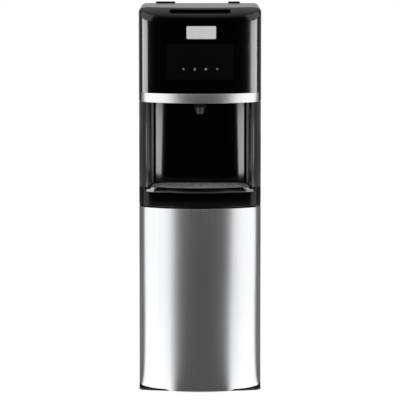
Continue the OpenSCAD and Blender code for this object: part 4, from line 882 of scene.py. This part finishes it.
def make_door():
    """The steel wraps the front and both corners, with a hem turned in along its top and bottom. Its lower edge
    hangs SAG in front of the plinth in the middle, clears the plinth's ends and rises by LIFT at each corner."""
    points, normals = within(front_path(bow_n=110, corner_n=40), lambda p: p[:, 1] <= CORNER_Y - 0.001)
    z0, z1 = DOOR_Z
    near, sheet_in, deep = FLUSH, FLUSH + STEEL_T, FLUSH + HEM
    outline = rounded([(near, z0), (deep, z0), (deep, z0 + STEEL_T), (sheet_in, z0 + STEEL_T),
                       (sheet_in, z1 - STEEL_T), (deep, z1 - STEEL_T), (deep, z1), (near, z1)], 0.0009, 4)
    x = np.abs(points[:, 0])
    rise = np.clip((x - LIFT_X[0]) / (LIFT_X[1] - LIFT_X[0]), 0, 1)
    low = LIFT * rise ** 2 - SAG * (1 - eased((x - SAG_X[0]) / (SAG_X[1] - SAG_X[0])))
    profile = np.tile(outline, (len(points), 1, 1))
    profile[..., 1] += np.where(outline[:, 1] < 0.1, 1, 0) * low[:, None]
    return dress(carried("door_steel", (points, normals), profile), "brushed_door", "door", "door_skin")


def make_rims():
    """Thin raised rings round the large hole and the two finger holes of the grille."""
    z = GRILLE_Z
    rings = []
    for cx, cy, r in HOLES:
        profile = [(r + 0.0001, z - 0.0004), (r + 0.0001, z + 0.0004), (r + 0.0005, z + 0.0007),
                   (r + 0.0012, z + 0.0002), (r + 0.0012, z - 0.0004)]
        rings.append(turned("ring", profile, cx, FRONT + cy, 48))
    return dress(joined("hole_rims", rings), "stainless", "grille", material="rim_metal")


def make_hose():
    """The soft tube from the probe's cap up to the pump: a tube of rings."""
    low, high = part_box("probe_hose")
    cx, cy, r = (low[0] + high[0]) / 2, (low[1] + high[1]) / 2, (high[0] - low[0]) / 2
    z = np.linspace(low[2], high[2], 24)
    profile = [(r - 0.0012, v) for v in z] + [(r, v) for v in z[::-1]]
    hose = dress(turned("pump_tube", profile, cx, cy, 32), "hose_silicone", None, "probe_hose")
    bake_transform(hose)
    return hose


fascia = make_fascia()
lid = make_top()
band = make_band()
door = make_door()
make_plate()
make_window()
make_icons()
housing = make_housing()
recess = make_recess()
ceiling = make_ceiling()
pillars = make_pillars()
make_rims()
make_hose()

# Finishes of the nodes that stay
NODE_FINISH = {"tray_grille": "grille_grey", "tray_housing": "lip_black", "base_plinth": "lip_black",
               "nozzle_cup": "smoked_cup", "drip_tray": "gloss_fascia", "vent_insert": "vent_black"}
slot_of = {row["node"]: row["material_slot"] for row in frame["record"]["subparts"]}
for node, obj in frame["nodes"].items():
    obj.data.materials.clear()
    obj.data.materials.append(finish_of(NODE_FINISH.get(node, slot_of[node])))


# Studio

def floor(half_x, half_y):
    """One level sheet under the object."""
    obj = build("floor", [(-half_x, -half_y, 0), (half_x, -half_y, 0), (half_x, half_y, 0), (-half_x, half_y, 0)],
                [[0, 1, 2, 3]])
    obj.data.materials.append(floor_paper())


def floor_paper():
    """Pale paper. The camera, and light through clear plastic, see it white, with a trace of the object's shadow.
    In glossy surfaces it is a bright field on both sides of the object, dark in front and pale behind. Azimuth is
    counted from straight in front, in radians."""
    material, t = finish("floor_paper")
    rays = t.node("ShaderNodeLightPath")
    seen = Wire(t, rays.outputs["Is Camera Ray"]) + Wire(t, rays.outputs["Is Transmission Ray"])
    mirrored = Wire(t, rays.outputs["Is Glossy Ray"])
    x, y = t.place().split(0), t.place().split(1)
    forward = FRONT + BOW_R * 0.46 - y
    reach = x * x + forward * forward
    heading = x.turn(forward)
    inner = (heading - 0.04).size().ramp(0.54, 0.74, True)
    outer = 1 - (x.size() - (HALF_W - CORNER_R)).turn(FRONT + CORNER_Y - y).ramp(1.50, 1.70, True)
    behind = heading.size()
    shine = inner * outer * (1 - reach.ramp(3.3, 3.9)) * WASH + 0.12 * (1 - reach.ramp(9.0, 12.0))
    shine = shine + behind.ramp(1.8, 2.0, True) * 0.13 + behind.ramp(2.6, 2.9, True) * 0.5
    grain = t.noise(t.place(), 3.0, 2.0)
    matt = t.node("ShaderNodeBsdfDiffuse", None, Color=t.tone(grain, (0.78,) * 3, (0.8,) * 3))
    shown = t.node("ShaderNodeEmission", None, Color=(1, 1, 1, 1), Strength=1.5)
    white = t.node("ShaderNodeMixShader", None, _0=seen * 0.6, _1=matt.outputs[0], _2=shown.outputs[0])
    field = t.node("ShaderNodeEmission", None, Color=(1, 1, 1, 1), Strength=shine)
    both = t.node("ShaderNodeMixShader", None, _0=mirrored, _1=white.outputs[0], _2=field.outputs[0])
    t.node("ShaderNodeOutputMaterial", None, Surface=both.outputs[0])
    return material


def lamp(name, place, target, size_x, size_y, shine):
    """An area light at a place, turned to a target. shine is how bright its face is, where 1 is white."""
    data = bpy.data.lights.new(name, "AREA")
    data.shape = "RECTANGLE"
    data.size = size_x
    data.size_y = size_y
    data.energy = shine * math.pi * size_x * size_y
    obj = bpy.data.objects.new(name, data)
    bpy.context.scene.collection.objects.link(obj)
    obj.location = place
    way = mathutils.Vector(target) - mathutils.Vector(place)
    obj.rotation_euler = way.to_track_quat("-Z", "Y").to_euler()
    obj.visible_camera = False
    return obj


def world():
    """White to the camera and through clear plastic. Glossy surfaces see it dark in front, bright overhead and
    pale behind the object. Everything else is lit by an even glow."""
    sky = bpy.data.worlds.new("studio")
    bpy.context.scene.world = sky
    t = Tree(sky)
    rays = t.node("ShaderNodeLightPath")
    seen = (Wire(t, rays.outputs["Is Camera Ray"]) + Wire(t, rays.outputs["Is Transmission Ray"])).ramp(0.0, 1.0)
    mirrored = Wire(t, rays.outputs["Is Glossy Ray"])
    way = t.wire("ShaderNodeTexCoord", out="Generated")
    y, z = way.split(1), way.split(2)
    back = y.ramp(0.25, 0.45, True) * 0.25 + y.ramp(0.8, 0.95, True) * 0.5
    over = z.ramp(0.25, 0.9, True) * 1.2 * (1 - y.ramp(0.2, 0.6, True) * 0.5)
    level = (1 - mirrored) * WORLD_GLOW + mirrored * (back + over)
    shade = level * (1 - seen) + seen
    lit = t.node("ShaderNodeBackground", None, Color=(1, 1, 1, 1), Strength=shade)
    t.node("ShaderNodeOutputWorld", None, Surface=lit.outputs[0])


def camera():
    """Seven metres in front of the head, a little above it, with a long lens."""
    data = bpy.data.cameras.new("camera")
    data.lens = 234.28
    data.sensor_width = 36.0
    obj = bpy.data.objects.new("camera", data)
    bpy.context.scene.collection.objects.link(obj)
    obj.location = (0.0, FRONT - 7.0, 1.330)
    obj.rotation_euler = (math.radians(90 - 6.51), 0.0, 0.0)
    bpy.context.scene.camera = obj


# How bright the two washes and the even glow are
WASH = 1.75
WORLD_GLOW = 0.75
# How far out the upright lamps stand, where the recess's cards stand, and the circle that the washes stand on
LAMP_X = 1.6
CARD_X = 1.84
CARD_Y = FRONT - 1.5
CARD_Z = 0.31
WASH_Y = FRONT + 0.117
WASH_R = 1.9
# Heights between which the upright lamps for the head, the light above it and the lamps for the posts reach
HEAD_SPAN = (0.60, 1.02)
CROWN_SPAN = (1.04, 1.9)
POST_SPAN = (0.30, 0.80)
SIDES = (("left", -1), ("right", 1))


def strip(name, side, span_y, span_z, shine):
    """An upright lamp beside the object, between two places along y and two heights."""
    y, z = FRONT + sum(span_y) / 2, sum(span_z) / 2
    return lamp(name, (side * LAMP_X, y, z), (0, y, z), span_y[1] - span_y[0], span_z[1] - span_z[0], shine)


def flagged(name, pieces, lamps):
    """Lamps that light only some pieces, as a still-life photographer flags a light off the rest."""
    lit = bpy.data.collections.new(name)
    for piece in pieces:
        lit.objects.link(piece)
    for one in lamps:
        one.light_linking.receiver_collection = lit


def wash(name, side, inner, outer):
    """A tall soft light that satin metal sees from one side, between two headings in degrees, counted from the
    front round a point inside the bow."""
    heading, half = math.radians((inner + outer) / 2), math.radians((outer - inner) / 2)
    spot = (side * WASH_R * math.sin(heading), WASH_Y - WASH_R * math.cos(heading), 1.0)
    return lamp(name, spot, (0, WASH_Y, 1.0), 2 * WASH_R * math.tan(half), 1.98, WASH)


floor(8, 9)
flagged("satin_metal", (door, band), [
    wash("left_wash", -1, 33.5, 94.5), wash("right_wash", 1, 40.5, 96),
    lamp("front_wash", (0, -3.5, 1.2), (0, 0, 1.2), 4.0, 2.2, 0.12)])
flagged("head_gloss", (fascia, lid), [
    strip("left_strip", -1, (-0.43, 0.60), HEAD_SPAN, 9.0), strip("right_strip", 1, (-0.60, 0.443), HEAD_SPAN, 9.5),
    strip("left_crown", -1, (-0.7, 0.7), CROWN_SPAN, 1.3), strip("right_crown", 1, (-0.7, 0.7), CROWN_SPAN, 1.3)])
flagged("posts", (pillars,), [
    strip("left_middle", -1, (-0.30, -0.08), POST_SPAN, 3.0),
    strip("right_middle", 1, (-0.47, -0.10), POST_SPAN, 3.4)])
flagged("recess", (recess, ceiling), [
    lamp(f"{tag}_card", (side * CARD_X, CARD_Y, CARD_Z), (side * CARD_X, CARD_Y + 1, CARD_Z), 1.32, 0.6, 8.5)
    for tag, side in SIDES] + [strip(f"{tag}_foot", side, (-0.95, 0.25), (0.10, 0.36), 6.0) for tag, side in SIDES])
flagged("gloss_band", (housing,), [
    strip(f"{tag}_low", side, (-0.55, 0.4), (0.02, 0.50), 0.8) for tag, side in SIDES] + [
    lamp(f"{tag}_high", (side * 1.55, -0.38, 1.945), (side * 0.135, FRONT + 0.044, 0.555), 0.8, 0.8, shine)
    for (tag, side), shine in zip(SIDES, (9.0, 5.0))])
world()
camera()
bpy.context.scene.view_settings.view_transform = "Standard"
